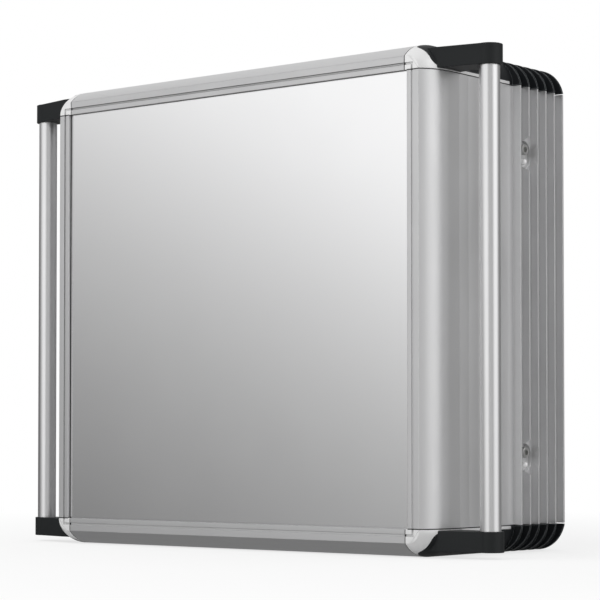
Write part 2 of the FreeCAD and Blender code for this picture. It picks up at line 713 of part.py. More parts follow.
def plate_clamps():
    """Clamps that press the plate forwards, and their screws."""
    clamps = []
    screws = []
    back = PLATE_RECESS + PLATE_THICK
    for middle, way in clamp_places():
        along = Vector(way.z, 0, way.x)
        corner = middle - way * CLAMP_WIDTH - along * (CLAMP_LENGTH / 2)
        size = way * (CLAMP_WIDTH - PLATE_GAP) + along * CLAMP_LENGTH
        block = Part.makeBox(size.x, CLAMP_DEPTH, size.z, corner + Vector(0, back, 0))
        seat = middle - way * CLAMP_WIDTH + Vector(0, clamp_screw_v(), 0)
        hole = rod(SMALL_SCREW_R, seat, seat + way * CLAMP_WIDTH)
        block = block.cut(hole)
        screw = small_screw(seat, way, CLAMP_WIDTH + RIB_THICK)
        clamps += all_corners(block)
        screws += all_corners(screw)
    return clamps, screws


# Rails behind the pockets

def mounting_rail():
    """Right-hand channel rail inside the housing."""
    low = MIDDLE_Z - RAIL_LENGTH / 2
    front = POCKET_V - RAIL_WIDTH / 2
    back = POCKET_V + RAIL_WIDTH / 2
    body = box(PAD_X - RAIL_DEPTH, PAD_X, front, back, low, low + RAIL_LENGTH)
    inside = box(PAD_X - RAIL_DEPTH - 1, PAD_X - RAIL_SHEET, front + RAIL_SHEET,
                 back - RAIL_SHEET, low - 1, low + RAIL_LENGTH + 1)
    cuts = [inside]
    for z in pocket_heights():
        for radius, height in ((RAIL_SCREW_R + HOLE_SLACK, z + SCREW_ABOVE),
                               (PIN_RADIUS, z - PIN_BELOW)):
            cuts.append(rod(radius, at(PAD_X - RAIL_DEPTH, POCKET_V, height),
                            at(PAD_X + 1, POCKET_V, height)))
    return body.cut(cuts)


def rail_fasteners():
    """Screws, nuts and locating pins of the right-hand rail."""
    screws = []
    nuts = []
    pins = []
    floor_x = WALL_X - POCKET_DEPTH
    nut_x = PAD_X - RAIL_SHEET
    for z in pocket_heights():
        screw_z = z + SCREW_ABOVE
        pin_z = z - PIN_BELOW
        head = rod(RAIL_HEAD_R, at(floor_x, POCKET_V, screw_z),
                   at(floor_x + RAIL_HEAD_HEIGHT, POCKET_V, screw_z))
        shank = rod(RAIL_SCREW_R, at(nut_x - NUT_HEIGHT - THREAD_END, POCKET_V, screw_z),
                    at(floor_x, POCKET_V, screw_z))
        drive = hexagon(RAIL_DRIVE_FLATS,
                        at(floor_x + RAIL_HEAD_HEIGHT - RAIL_DRIVE_DEPTH, POCKET_V, screw_z),
                        at(floor_x + RAIL_HEAD_HEIGHT + 1, POCKET_V, screw_z))
        screws.append(fuse([head, shank]).cut(drive))
        nut = hexagon(NUT_FLATS, at(nut_x - NUT_HEIGHT, POCKET_V, screw_z),
                      at(nut_x, POCKET_V, screw_z))
        nuts.append(nut.cut(rod(RAIL_SCREW_R, at(nut_x - NUT_HEIGHT - 1, POCKET_V, screw_z),
                                at(nut_x + 1, POCKET_V, screw_z))))
        ball = at(floor_x + PIN_HEIGHT - PIN_RADIUS, POCKET_V, pin_z)
        pin = rod(PIN_RADIUS, at(nut_x - THREAD_END, POCKET_V, pin_z), ball)
        pins.append(fuse([pin, Part.makeSphere(PIN_RADIUS, ball)]))
    return screws, nuts, pins


# Rear door, hung on two pins at its left-hand edge

def rounded_plate(half_x, low, high, radius, v0, v1):
    """Plate with rounded corners, seen from the front."""
    plate = Part.makeBox(2 * half_x, v1 - v0, high - low, at(-half_x, v0, low))
    upright = [edge for edge in plate.Edges if abs(edge.tangentAt(edge.FirstParameter).y) > 0.9]
    return plate.makeFillet(radius, upright)


def rear_door():
    """Door tray with a rolled hinge edge, and holes for the latches and pins."""
    low = 2 * SKIN + DOOR_GAP
    body = rounded_plate(DOOR_X, low, TOP - low, DOOR_CORNER, DOOR_FRONT, DEPTH)
    rim = DOOR_RIM
    tray = rounded_plate(DOOR_X - rim, low + rim, TOP - low - rim, DOOR_CORNER - rim,
                         DOOR_FRONT - 1, DEPTH - DOOR_SHEET)
    edge = box(-DOOR_X - 1, -HINGE_X, DOOR_FRONT - 1, DEPTH + 1, 0, TOP)
    roll = rod(DOOR_THICK / 2, at(-HINGE_X, HINGE_V, -1), at(-HINGE_X, HINGE_V, TOP + 1))
    cuts = [tray, edge.cut(roll)]
    pin_r = HINGE_PIN_R + HINGE_RUNNING_GAP
    bottom_pin = rod(pin_r, at(-HINGE_X, HINGE_V, -1),
                     at(-HINGE_X, HINGE_V, CORNER_RADIUS + HINGE_PIN_LENGTH))
    relief = box(-DOOR_X - 1, HINGE_RELIEF - HINGE_X, DOOR_FRONT - 1, DEPTH + 1,
                 0, CORNER_RADIUS)
    cuts += [bottom_pin, mirror_z(bottom_pin), relief, mirror_z(relief)]
    for z in latch_heights():
        cuts.append(rod(LATCH_BODY_R + 0.1, at(LATCH_X, DOOR_FRONT, z), at(LATCH_X, DEPTH + 1, z)))
    return body.cut(cuts).removeSplitter()


def door_seal():
    """Seal on the door stop."""
    out_x = DOOR_X - DOOR_SEAL_SETBACK
    out_low = 2 * SKIN + DOOR_GAP + DOOR_SEAL_SETBACK
    in_x = out_x - DOOR_SEAL_WIDTH
    in_low = out_low + DOOR_SEAL_WIDTH
    out_corner = DOOR_CORNER - DOOR_SEAL_SETBACK
    back = FLANGE_BACK + DOOR_SEAL
    ring = rounded_plate(out_x, out_low, TOP - out_low, out_corner, FLANGE_BACK, back)
    return ring.cut(rounded_plate(in_x, in_low, TOP - in_low, out_corner - DOOR_SEAL_WIDTH,
                                  FLANGE_BACK - 1, back + 1))


def hinge_pin():
    """Lower hinge pin, held in the corner piece and entering the door."""
    outer = CORNER_RADIUS - SKIN
    across = HINGE_X - CENTRE_X
    start = CORNER_RADIUS - math.sqrt(outer ** 2 - (across + HINGE_PIN_R) ** 2)
    end = start + HINGE_PIN_LENGTH
    return rod(HINGE_PIN_R, at(-HINGE_X, HINGE_V, start + 0.5), at(-HINGE_X, HINGE_V, end))


def latch_heights():
    """Height of the lower and the upper latch."""
    return [MIDDLE_Z - LATCH_FROM_MIDDLE, MIDDLE_Z + LATCH_FROM_MIDDLE]


def latch_housing(z):
    """Round housing through the door."""
    body_front = CAM_V + CAM_THICK + CAM_HUB_LENGTH
    body = rod(LATCH_BODY_R, at(LATCH_X, body_front, z), at(LATCH_X, DEPTH, z))
    flange = rod(LATCH_FLANGE_R, at(LATCH_X, DEPTH, z), at(LATCH_X, DEPTH + LATCH_PROUD, z))
    bore = rod(LATCH_CORE_R + LATCH_GAP, at(LATCH_X, CAM_V, z),
               at(LATCH_X, DEPTH + LATCH_PROUD + 1, z))
    return fuse([body, flange]).cut(bore)


def latch_nut(z):
    """Nut that pulls the housing against the door."""
    back = DEPTH - DOOR_SHEET
    nut = hexagon(LATCH_NUT_FLATS, at(LATCH_X, back - LATCH_NUT_HEIGHT, z),
                  at(LATCH_X, back, z))
    return nut.cut(rod(LATCH_BODY_R, at(LATCH_X, back - LATCH_NUT_HEIGHT - 1, z),
                       at(LATCH_X, back + 1, z)))


def latch_spindle(z):
    """Turning core with a three-sided key recess."""
    face_v = DEPTH + LATCH_PROUD - CORE_SINK
    core = rod(LATCH_CORE_R, at(LATCH_X, CAM_V + CAM_THICK, z), at(LATCH_X, face_v, z))
    points = []
    for step in range(4):
        turn = math.radians(90 + 120 * step)
        points.append(at(LATCH_X + KEY_REACH * math.cos(turn), face_v - KEY_DEPTH,
                         z + KEY_REACH * math.sin(turn)))
    key = Part.Face(Part.makePolygon(points)).extrude(Vector(0, KEY_DEPTH + 1, 0))
    return core.cut(key)


def latch_cam(z):
    """Cam arm, pointing down when released."""
    half = CAM_WIDTH / 2
    hub = rod(half, at(LATCH_X, CAM_V, z), at(LATCH_X, CAM_V + CAM_THICK, z))
    tip = rod(half, at(LATCH_X, CAM_V, z - CAM_LENGTH + half),
              at(LATCH_X, CAM_V + CAM_THICK, z - CAM_LENGTH + half))
    arm = box(LATCH_X - half, LATCH_X + half, CAM_V, CAM_V + CAM_THICK,
              z - CAM_LENGTH + half, z)
    return fuse([hub, tip, arm])


def cam_screw(z):
    """Head of the screw that holds the cam on its spindle."""
    return rod(SMALL_HEAD_R + 1, at(LATCH_X, CAM_V - SMALL_HEAD_HEIGHT, z), at(LATCH_X, CAM_V, z))


def main():
    """Build and write every node."""
    side = side_profile()
    save("side_profile_right", side)
    save("side_profile_left", mirror_x(side))
    level = level_profile()
    save("top_profile", level)
    save("bottom_profile", mirror_z(level))

    save_corners("corner", corner_piece())
    save_corners("rib_cap", rib_cap())
    save_corners("handle_bracket", handle_bracket())
    seals = []
    for seal in corner_seal():
        seals += all_corners(seal)
    save("corner_seals", *seals)
    screws = []
    for screw in corner_screws():
        screws += all_corners(screw)
    save("corner_screws", *screws)

    tube = handle_tube()
    save("handle_tube_right", tube)
    save("handle_tube_left", mirror_x(tube))
    save("tube_plugs", *all_corners(tube_plug()))
    save("handle_screws", *all_corners(handle_screw()))

    save("front_plate", front_plate())
    save("front_seal", front_seal())
    clamps, clamp_screws = plate_clamps()
    save("plate_clamps", *clamps)
    save("clamp_screws", *clamp_screws)

    rail = mounting_rail()
    save("mounting_rail_right", rail)
    save("mounting_rail_left", mirror_x(rail))
    for name, pieces in zip(("rail_screws", "rail_nuts", "locating_pins"), rail_fasteners()):
        save(name, *(pieces + [mirror_x(piece) for piece in pieces]))

    save("rear_door", rear_door())
    save("door_seal", door_seal())
    pin = hinge_pin()
    save("hinge_pins", pin, mirror_z(pin))
    lower, upper = latch_heights()
    save("latch_nuts", latch_nut(lower), latch_nut(upper))
    for name, z in (("lower", lower), ("upper", upper)):
        save("latch_housing_" + name, latch_housing(z))
        save("latch_spindle_" + name, latch_spindle(z))
        save("latch_cam_" + name, latch_cam(z))
        save("cam_screw_" + name, cam_screw(z))


main()
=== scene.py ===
import logging
import math
from dataclasses import dataclass, replace
from enum import Enum
from typing import Union

import bmesh
import bpy
from mathutils import Euler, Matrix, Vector


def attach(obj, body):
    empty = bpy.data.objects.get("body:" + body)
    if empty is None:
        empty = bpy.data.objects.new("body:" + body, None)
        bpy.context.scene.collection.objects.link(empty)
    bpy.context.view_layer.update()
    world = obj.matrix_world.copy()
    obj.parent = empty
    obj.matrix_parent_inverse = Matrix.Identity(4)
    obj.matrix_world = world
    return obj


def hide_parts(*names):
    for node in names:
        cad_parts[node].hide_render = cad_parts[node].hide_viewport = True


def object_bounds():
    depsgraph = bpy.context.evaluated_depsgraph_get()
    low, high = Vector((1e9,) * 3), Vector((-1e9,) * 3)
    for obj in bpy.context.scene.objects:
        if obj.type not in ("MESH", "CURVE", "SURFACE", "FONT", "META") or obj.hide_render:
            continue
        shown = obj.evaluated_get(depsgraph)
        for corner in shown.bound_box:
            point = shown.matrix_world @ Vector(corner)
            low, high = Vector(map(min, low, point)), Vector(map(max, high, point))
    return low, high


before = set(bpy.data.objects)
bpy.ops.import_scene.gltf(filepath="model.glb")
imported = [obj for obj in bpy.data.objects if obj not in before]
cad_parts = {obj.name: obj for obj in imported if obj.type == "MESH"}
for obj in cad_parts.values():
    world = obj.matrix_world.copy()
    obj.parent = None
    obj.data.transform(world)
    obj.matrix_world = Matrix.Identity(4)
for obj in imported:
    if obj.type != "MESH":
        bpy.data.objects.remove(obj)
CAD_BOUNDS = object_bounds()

# Console enclosure: finishes, fine geometry, studio and camera, in metres.

LOG = logging.getLogger("console_enclosure")
MILLIMETRE = 0.001
MIDDLE = (CAD_BOUNDS[0] + CAD_BOUNDS[1]) / 2
MERGE_DISTANCE = 0.002 * MILLIMETRE
FLAT_ANGLE = math.radians(0.5)
SHARP_ANGLE = math.radians(28)
ROOM_FOR_EDGE = 2.6             # least width of a face, in widths of a broken edge
EDGE_SEGMENTS = 2
SEAT_DECIMALS = 5               # of a metre, which put the seats in a fixed order
HALF = 0.5
HALF_CIRCLE = 180.0             # degrees
LEVEL_VIEW = 90.0               # degrees that a camera is tilted up to look level
WHITE = (1.0, 1.0, 1.0, 1.0)
CORNERS = ("top_right", "top_left", "bottom_right", "bottom_left")
SIDES = ("right", "left")
LEVELS = ("lower", "upper")
Value = Union[bpy.types.NodeSocket, float]


class Grain(Enum):
    """Way in which a finish is stretched: the share of its scale along X, Y and Z."""

    EVEN = (1.0, 1.0, 1.0)
    UPRIGHT = (1.0, 1.0, 0.01)
    LEVEL = (0.01, 1.0, 1.0)


class Body(Enum):
    """Rigid bodies of the construction model."""

    FRAME = "frame"
    DOOR = "rear_door"
    LATCH_LOWER = "latch_lower"
    LATCH_UPPER = "latch_upper"


def feed(tree: bpy.types.NodeTree, socket: bpy.types.NodeSocket, value: Value) -> None:
    """Set a node's input to a constant, or link it.

    Args:
        tree: The node tree.
        socket: The input.
        value: The constant, or the output to link.
    """
    if isinstance(value, bpy.types.NodeSocket):
        tree.links.new(value, socket)
    else:
        socket.default_value = value


def calculated(tree: bpy.types.NodeTree, operation: str, *terms: Value) -> bpy.types.NodeSocket:
    """Calculate with constants and outputs.

    Args:
        tree: The node tree.
        operation: Name of the calculation.
        terms: Its terms, in order.

    Returns:
        The result.
    """
    node = tree.nodes.new("ShaderNodeMath")
    node.operation = operation
    for socket, term in zip(node.inputs, terms):
        feed(tree, socket, term)
    return node.outputs[0]


def ranged(tree: bpy.types.NodeTree, value: bpy.types.NodeSocket, span: tuple[float, float],
           low: float = 0.0, high: float = 1.0, blend: str = "LINEAR") -> bpy.types.NodeSocket:
    """Map a value from one span to another and stop at the ends.

    Args:
        tree: The node tree.
        value: The value.
        span: Where the value starts and ends.
        low: Result at the start of the span.
        high: Result at the end of the span.
        blend: Name of the way between them.

    Returns:
        The result.
    """
    node = tree.nodes.new("ShaderNodeMapRange")
    node.interpolation_type = blend
    for name, number in zip(("From Min", "From Max", "To Min", "To Max"), (*span, low, high)):
        node.inputs[name].default_value = number
    tree.links.new(value, node.inputs["Value"])
    return node.outputs["Result"]


def added(name: str, data: bpy.types.ID) -> bpy.types.Object:
    """Put an object into the scene.

    Args:
        name: Its name.
        data: Its mesh, light or camera.

    Returns:
        The object.
    """
    made = bpy.data.objects.new(name, data)
    bpy.context.scene.collection.objects.link(made)
    return made


@dataclass(frozen=True)
class Finish:
    """A surface finish: colour, gloss, grain, its edges lightened by wear and painted highlight,
    and painted shade in its grooves.
    """

    NOISE_SPAN = (0.6, 1.4)         # sum of the two noises, over which the roughness varies
    EDGE_SPAN = (0.985, 0.85)       # agreement of the normals, from no edge lightening to full wear and painted highlight
    WEAR_AND_HIGHLIGHT_SPAN = (0.3, 0.6)          # noise over which the wear and painted highlight grow
    LEAST_WEAR_AND_HIGHLIGHT = 0.5
    PAINTED_SHADE_SPAN = (0.45, 0.9)      # share of open sky, from a groove to the open, over which the painted shade fades
    PAINTED_SHADE_SAMPLES = 8
    EDGE_SAMPLES = 4
    FINE_OCTAVES = 3.0
    PATCH_OCTAVES = 2.0

    name: str
    slot: str
    colour: tuple[float, float, float]
    metallic: float
    roughness: float
    colour_spread: float = 0.03
    roughness_spread: float = 0.05
    grain: Grain = Grain.EVEN
    grain_size: float = 0.6 * MILLIMETRE
    bump: float = 0.01 * MILLIMETRE
    patch_size: float = 60 * MILLIMETRE
    # The edge colour, radius and share lighten the sharp edges: partly wear, partly painted
    # highlight.
    edge_wear_and_highlight_colour: tuple[float, float, float] = (0.9, 0.9, 0.9)
    edge_radius: float = 0.5 * MILLIMETRE
    edge_wear_and_highlight: float = 0.0
    specular: float = 0.5
    # painted shade: how far the colour darkens in grooves, and how far it looks for them
    painted_shade: float = 0.0
    painted_shade_reach: float = 2.5 * MILLIMETRE

    def material(self) -> bpy.types.Material:
        """Build the finish as a node material, or find the one already built.

        Returns:
            The material, whose patterns follow Object coordinates.
        """
        found = bpy.data.materials.get(self.name + "_finish")
        if found is not None:
            return found
        made = bpy.data.materials.new(self.name + "_finish")
        made.use_nodes = True
        tree = made.node_tree
        shader = tree.nodes["Principled BSDF"]
        shader.inputs["Metallic"].default_value = self.metallic
        shader.inputs["Specular IOR Level"].default_value = self.specular
        fine = self._noise(tree, self.grain_size, self.grain, self.FINE_OCTAVES)
        patch = self._noise(tree, self.patch_size, Grain.EVEN, self.PATCH_OCTAVES)
        self._roughness(tree, shader, fine, patch)
        self._colour(tree, shader, fine, patch)
        self._bump(tree, shader, fine)
        return made

    @staticmethod
    def _noise(tree: bpy.types.NodeTree, size: float, grain: Grain,
               octaves: float) -> bpy.types.NodeSocket:
        """Noise of one feature size, stretched along the grain.

        Args:
            tree: The material's node tree.
            size: Size of a feature, in metres.
            grain: Way in which it is stretched.
            octaves: Octaves of the noise.

        Returns:
            The noise's value, from 0 to 1.
        """
        place = tree.nodes.new("ShaderNodeTexCoord")
        mapping = tree.nodes.new("ShaderNodeMapping")
        mapping.inputs["Scale"].default_value = [share / size for share in grain.value]
        noise = tree.nodes.new("ShaderNodeTexNoise")
        noise.inputs["Scale"].default_value = 1.0
        noise.inputs["Detail"].default_value = octaves
        tree.links.new(place.outputs["Object"], mapping.inputs["Vector"])
        tree.links.new(mapping.outputs["Vector"], noise.inputs["Vector"])
        return noise.outputs["Fac"]

    def _roughness(self, tree: bpy.types.NodeTree, shader: bpy.types.Node,
                   fine: bpy.types.NodeSocket, patch: bpy.types.NodeSocket) -> None:
        """Vary the roughness with the grain and with larger patches.

        Args:
            tree: The material's node tree.
            shader: The surface shader.
            fine: Noise of the grain.
            patch: Noise of the larger patches.
        """
        both = calculated(tree, "ADD", fine, patch)
        spread = ranged(tree, both, self.NOISE_SPAN, self.roughness - self.roughness_spread,
                        self.roughness + self.roughness_spread)
        tree.links.new(spread, shader.inputs["Roughness"])

    def _colour(self, tree: bpy.types.NodeTree, shader: bpy.types.Node,
                fine: bpy.types.NodeSocket, patch: bpy.types.NodeSocket) -> None:
        """Vary the colour, lighten the edges with wear and painted highlight, and darken the
        grooves with painted shade.

        Args:
            tree: The material's node tree.
            shader: The surface shader.
            fine: Noise of the grain.
            patch: Noise of the larger patches.
        """
        dark = (*[part * (1 - self.colour_spread) for part in self.colour], 1)
        light = (*[part * (1 + self.colour_spread) for part in self.colour], 1)
        halved = calculated(tree, "MULTIPLY", patch, HALF)
        mean = calculated(tree, "MULTIPLY_ADD", fine, HALF, halved)
        colour = self._mixed(tree, mean, dark, light)
        # Lighten the edges: partly wear, partly painted highlight.
        if self.edge_wear_and_highlight > 0:
            colour = self._mixed(tree, self._edges(tree, fine), colour, (*self.edge_wear_and_highlight_colour, 1))
        # Painted shade: the colour is darkened in grooves found by ambient occlusion.
        if self.painted_shade > 0:
            colour = self._mixed(tree, 1.0, colour, self._painted_shades(tree), "MULTIPLY")
        tree.links.new(colour, shader.inputs["Base Color"])

    @staticmethod
    def _mixed(tree: bpy.types.NodeTree, share: Value,
               first: "bpy.types.NodeSocket | tuple", second: "bpy.types.NodeSocket | tuple",
               blend: str = "MIX") -> bpy.types.NodeSocket:
        """Mix two colours.

        Args:
            tree: The material's node tree.
            share: Share of the second colour.
            first: The first colour.
            second: The second colour.
            blend: Name of the way in which they mix.

        Returns:
            The mixed colour.
        """
        node = tree.nodes.new("ShaderNodeMix")
        node.data_type = "RGBA"
        node.blend_type = blend
        feed(tree, node.inputs["Factor"], share)
        feed(tree, node.inputs["A"], first)
        feed(tree, node.inputs["B"], second)
        return node.outputs["Result"]

    def _painted_shades(self, tree: bpy.types.NodeTree) -> bpy.types.NodeSocket:
        """Paint shade into the grooves and seams, found by ambient occlusion.

        Args:
            tree: The material's node tree.

        Returns:
            A grey that is white in the open and darker in a groove.
        """
        open_sky = tree.nodes.new("ShaderNodeAmbientOcclusion")
        open_sky.samples = self.PAINTED_SHADE_SAMPLES
        open_sky.inputs["Distance"].default_value = self.painted_shade_reach
        return ranged(tree, open_sky.outputs["AO"], self.PAINTED_SHADE_SPAN, 1.0 - self.painted_shade)

    def _edges(self, tree: bpy.types.NodeTree,
               fine: bpy.types.NodeSocket) -> bpy.types.NodeSocket:
        """Find the edges, by how far a rounded normal turns from the true one.

        Args:
            tree: The material's node tree.
            fine: Noise that breaks the wear and painted highlight up.

        Returns:
            How much the edge is lightened by wear and painted highlight, from 0 to the finish's
            greatest share.
        """
        rounded = tree.nodes.new("ShaderNodeBevel")
        rounded.samples = self.EDGE_SAMPLES
        rounded.inputs["Radius"].default_value = self.edge_radius
        true = tree.nodes.new("ShaderNodeNewGeometry")
        agree = tree.nodes.new("ShaderNodeVectorMath")
        agree.operation = "DOT_PRODUCT"
        tree.links.new(rounded.outputs["Normal"], agree.inputs[0])
        tree.links.new(true.outputs["Normal"], agree.inputs[1])
        edge = ranged(tree, agree.outputs["Value"], self.EDGE_SPAN, high=self.edge_wear_and_highlight)
        broken = ranged(tree, fine, self.WEAR_AND_HIGHLIGHT_SPAN, low=self.LEAST_WEAR_AND_HIGHLIGHT)
        return calculated(tree, "MULTIPLY", edge, broken)

    def _bump(self, tree: bpy.types.NodeTree, shader: bpy.types.Node,
              fine: bpy.types.NodeSocket) -> None:
        """Raise the grain.

        Args:
            tree: The material's node tree.
            shader: The surface shader.
            fine: Noise of the grain.
        """
        bump = tree.nodes.new("ShaderNodeBump")
        bump.inputs["Strength"].default_value = 1.0
        bump.inputs["Distance"].default_value = self.bump
        tree.links.new(fine, bump.inputs["Height"])
        tree.links.new(bump.outputs["Normal"], shader.inputs["Normal"])


# In these finishes the lightened edges are partly wear and partly painted highlight, and the
# darkened grooves are painted shade.
ANODISED_UPRIGHT = Finish(
    "anodised_upright", "anodised_profile", (0.85, 0.85, 0.855), metallic=1.0, roughness=0.44,
    grain=Grain.UPRIGHT, grain_size=0.5 * MILLIMETRE, bump=0.003 * MILLIMETRE,
    edge_wear_and_highlight=0.25, edge_wear_and_highlight_colour=(0.95, 0.95, 0.95), painted_shade=0.15, painted_shade_reach=5 * MILLIMETRE)
ANODISED_LEVEL = Finish(
    "anodised_level", "anodised_profile", (0.85, 0.85, 0.855), metallic=1.0, roughness=0.44,
    grain=Grain.LEVEL, grain_size=0.5 * MILLIMETRE, bump=0.003 * MILLIMETRE,
    edge_wear_and_highlight=0.25, edge_wear_and_highlight_colour=(0.95, 0.95, 0.95), painted_shade=0.0)
# Painted shade: a copy of the upright finish with a deeper darkened groove, for the left profile,
# whose groove lies in shade.
ANODISED_LEFT_PAINTED_SHADE = replace(ANODISED_UPRIGHT, name="anodised_left_painted_shade", painted_shade=0.6,
                        painted_shade_reach=2.5 * MILLIMETRE)
# Painted shade: a copy of the level finish with a dark groove, for the top profile; the bottom
# profile keeps the plain one.
ANODISED_TOP_PAINTED_SHADE = replace(ANODISED_LEVEL, name="anodised_top_painted_shade", painted_shade=0.9)
# Its lightened edges are mainly painted highlight, and its darkened seams are painted shade.
SILVER_CASTING = Finish(
    "silver_casting", "silver_casting", (0.88, 0.88, 0.88), metallic=0.35, roughness=0.33,
    grain_size=0.9 * MILLIMETRE, bump=0.006 * MILLIMETRE,
    edge_wear_and_highlight=0.8, edge_wear_and_highlight_colour=(0.97, 0.97, 0.97), edge_radius=0.9 * MILLIMETRE,
    painted_shade=0.6)
BLACK_BRACKET = Finish(
    "black_bracket", "black_plastic", (0.0105, 0.0125, 0.0135), metallic=0.0, roughness=0.5,
    specular=0.32, colour_spread=0.08, grain_size=0.35 * MILLIMETRE, bump=0.012 * MILLIMETRE,
    edge_wear_and_highlight=0.25, edge_wear_and_highlight_colour=(0.06, 0.065, 0.07))
# Its light grey edges are painted highlight lines along the ribs, partly wear.
BLACK_RIBS = Finish(
    "black_ribs", "black_plastic", (0.009, 0.0105, 0.012), metallic=0.0, roughness=0.5,
    specular=0.3, colour_spread=0.08, grain_size=0.35 * MILLIMETRE, bump=0.012 * MILLIMETRE,
    edge_wear_and_highlight=1.0, edge_wear_and_highlight_colour=(0.26, 0.28, 0.29), edge_radius=0.55 * MILLIMETRE)
SATIN_TUBE = Finish(
    "satin_tube", "satin_tube", (0.86, 0.86, 0.865), metallic=1.0, roughness=0.33,
    colour_spread=0.015, roughness_spread=0.02,
    grain=Grain.UPRIGHT, grain_size=0.6 * MILLIMETRE, bump=0.0004 * MILLIMETRE)
# Painted shade darkens the plate beside the frame's lips.
BRUSHED_PLATE = Finish(
    "brushed_plate", "brushed_plate", (0.88, 0.88, 0.885), metallic=1.0, roughness=0.17,
    colour_spread=0.015, roughness_spread=0.02,
    grain_size=0.8 * MILLIMETRE, bump=0.0015 * MILLIMETRE, painted_shade=0.2)
PLAIN_STEEL = Finish(
    "plain_steel", "plain_steel", (0.62, 0.62, 0.61), metallic=1.0, roughness=0.32,
    grain_size=0.4 * MILLIMETRE, bump=0.004 * MILLIMETRE,
    edge_wear_and_highlight=0.4, edge_wear_and_highlight_colour=(0.85, 0.85, 0.85))
BRIGHT_PIN = Finish(
    "bright_pin", "bright_pin", (0.93, 0.93, 0.92), metallic=1.0, roughness=0.10,
    roughness_spread=0.03, grain_size=0.5 * MILLIMETRE, bump=0.001 * MILLIMETRE)
# Painted glint: a near-white, mostly non-metal colour makes the steel pin ends read as bright
# spots.
PIN_PAINTED_GLINT = Finish(
    "pin_painted_glint", "bright_pin", (0.96, 0.96, 0.96), metallic=0.15, roughness=0.15,
    colour_spread=0.01, roughness_spread=0.03, grain_size=0.5 * MILLIMETRE,
    bump=0.001 * MILLIMETRE)
ZINC_SHEET = Finish(
    "zinc_sheet", "zinc_sheet", (0.60, 0.61, 0.60), metallic=1.0, roughness=0.38,
    colour_spread=0.08, grain_size=6 * MILLIMETRE, bump=0.004 * MILLIMETRE)
SEAL_RUBBER = Finish(
    "seal_rubber", "seal_rubber", (0.028, 0.028, 0.029), metallic=0.0, roughness=0.7,
    colour_spread=0.1, grain_size=0.3 * MILLIMETRE, bump=0.02 * MILLIMETRE)


def coat(node: str, finish: Finish) -> None:
    """Give a construction node its finish and leave its shape alone.

    Args:
        node: The node's name.
        finish: Its finish.
    """
    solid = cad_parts[node]
    solid.data.materials.clear()
    solid.data.materials.append(finish.material())
    LOG.info("%s: %s", node, finish.name)


def finish_piece(piece: bpy.types.Object, node: str, finish: Finish, body: Body) -> None:
    """Let a finished piece stand for its construction node.

    Args:
        piece: The piece, as a plain mesh.
        node: The construction node that it replaces.
        finish: Its finish.
        body: The rigid body that it moves with.
    """
    piece.data.materials.clear()
    piece.data.materials.append(finish.material())
    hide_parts(node)
    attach(piece, body.value)
    LOG.info("%s: %s, %d faces", piece.name, finish.name, len(piece.data.polygons))


def bake(piece: bpy.types.Object) -> None:
    """Turn a piece's modifiers into plain mesh.

    Args:
        piece: The piece, which keeps its name.
    """
    graph = bpy.context.evaluated_depsgraph_get()
    made = bpy.data.meshes.new_from_object(piece.evaluated_get(graph))
    piece.modifiers.clear()
    piece.data = made


def welded_copy(node: str) -> bmesh.types.BMesh:
    """Copy a construction node, merged into whole faces.

    Args:
        node: The node's name.

    Returns:
        The copy, whose flat faces have no inner edges.
    """
    shell = bmesh.new()
    shell.from_mesh(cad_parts[node].data)
    bmesh.ops.remove_doubles(shell, verts=shell.verts, dist=MERGE_DISTANCE)
    bmesh.ops.dissolve_limit(shell, angle_limit=FLAT_ANGLE, use_dissolve_boundaries=False,
                             verts=shell.verts, edges=shell.edges, delimit={"NORMAL"})
    return shell


def soften(node: str, finish: Finish, edge: float, body: Body = Body.FRAME) -> None:
    """Break the sharp edges of a construction node and smooth its round faces.

    Args:
        node: The node's name.
        finish: Its finish.
        edge: Width of the broken edges, in metres.
        body: The rigid body that it moves with.
    """
    shell = welded_copy(node)
    broken = shell.edges.layers.float.new("bevel_weight_edge")
    for line in shell.edges:
        sharp = len(line.link_faces) == 2 and line.calc_face_angle(0.0) > SHARP_ANGLE
        least = ROOM_FOR_EDGE * edge * line.calc_length()
        wide = all(face.calc_area() > least for face in line.link_faces)
        line[broken] = 1.0 if sharp and wide else 0.0
        line.smooth = not sharp or wide
    for face in shell.faces:
        face.smooth = True
    mesh = bpy.data.meshes.new(node + "_finished")
    shell.to_mesh(mesh)
    shell.free()
    piece = added(node + "_finished", mesh)
    bevel = piece.modifiers.new("broken_edges", "BEVEL")
    bevel.limit_method = "WEIGHT"
    bevel.width = edge
    bevel.segments = EDGE_SEGMENTS
    bevel.use_clamp_overlap = False
    even = piece.modifiers.new("even_shading", "WEIGHTED_NORMAL")
    even.mode = "FACE_AREA"
    even.keep_sharp = True
    bake(piece)
    finish_piece(piece, node, finish, body)


@dataclass(frozen=True)
class Seat:
    """Where one fastener sits: the end of its shank, the way to its head, and its length."""

    start: Vector
    way: Vector
    length: float


def seats(node: str, heads_outward: bool = True) -> list[Seat]:
    """Find the fasteners of a construction node.

    Args:
        node: The node's name.
        heads_outward: True where the heads point away from the object's middle.

    Returns:
        One seat for each separate solid, in a fixed order.
    """
    shell = welded_copy(node)
    unseen = set(shell.verts)
    found = []
    while unseen:
        reached = [unseen.pop()]
        points = []
        while reached:
            vertex = reached.pop()
            points.append(vertex.co.copy())
            beside = {line.other_vert(vertex) for line in vertex.link_edges} & unseen
            unseen -= beside
            reached += beside
        low = Vector(min(point[k] for point in points) for k in range(3))
        high = Vector(max(point[k] for point in points) for k in range(3))
        span = high - low
        axis = max(range(3), key=lambda k: span[k])
        centre = (low + high) / 2
        outward = 1.0 if centre[axis] > MIDDLE[axis] else -1.0
        way = Vector((0.0, 0.0, 0.0))
        way[axis] = outward if heads_outward else -outward
        found.append(Seat(centre - way * span[axis] / 2, way, span[axis]))
    shell.free()
    return sorted(found, key=lambda seat: [round(part, SEAT_DECIMALS) for part in seat.start])


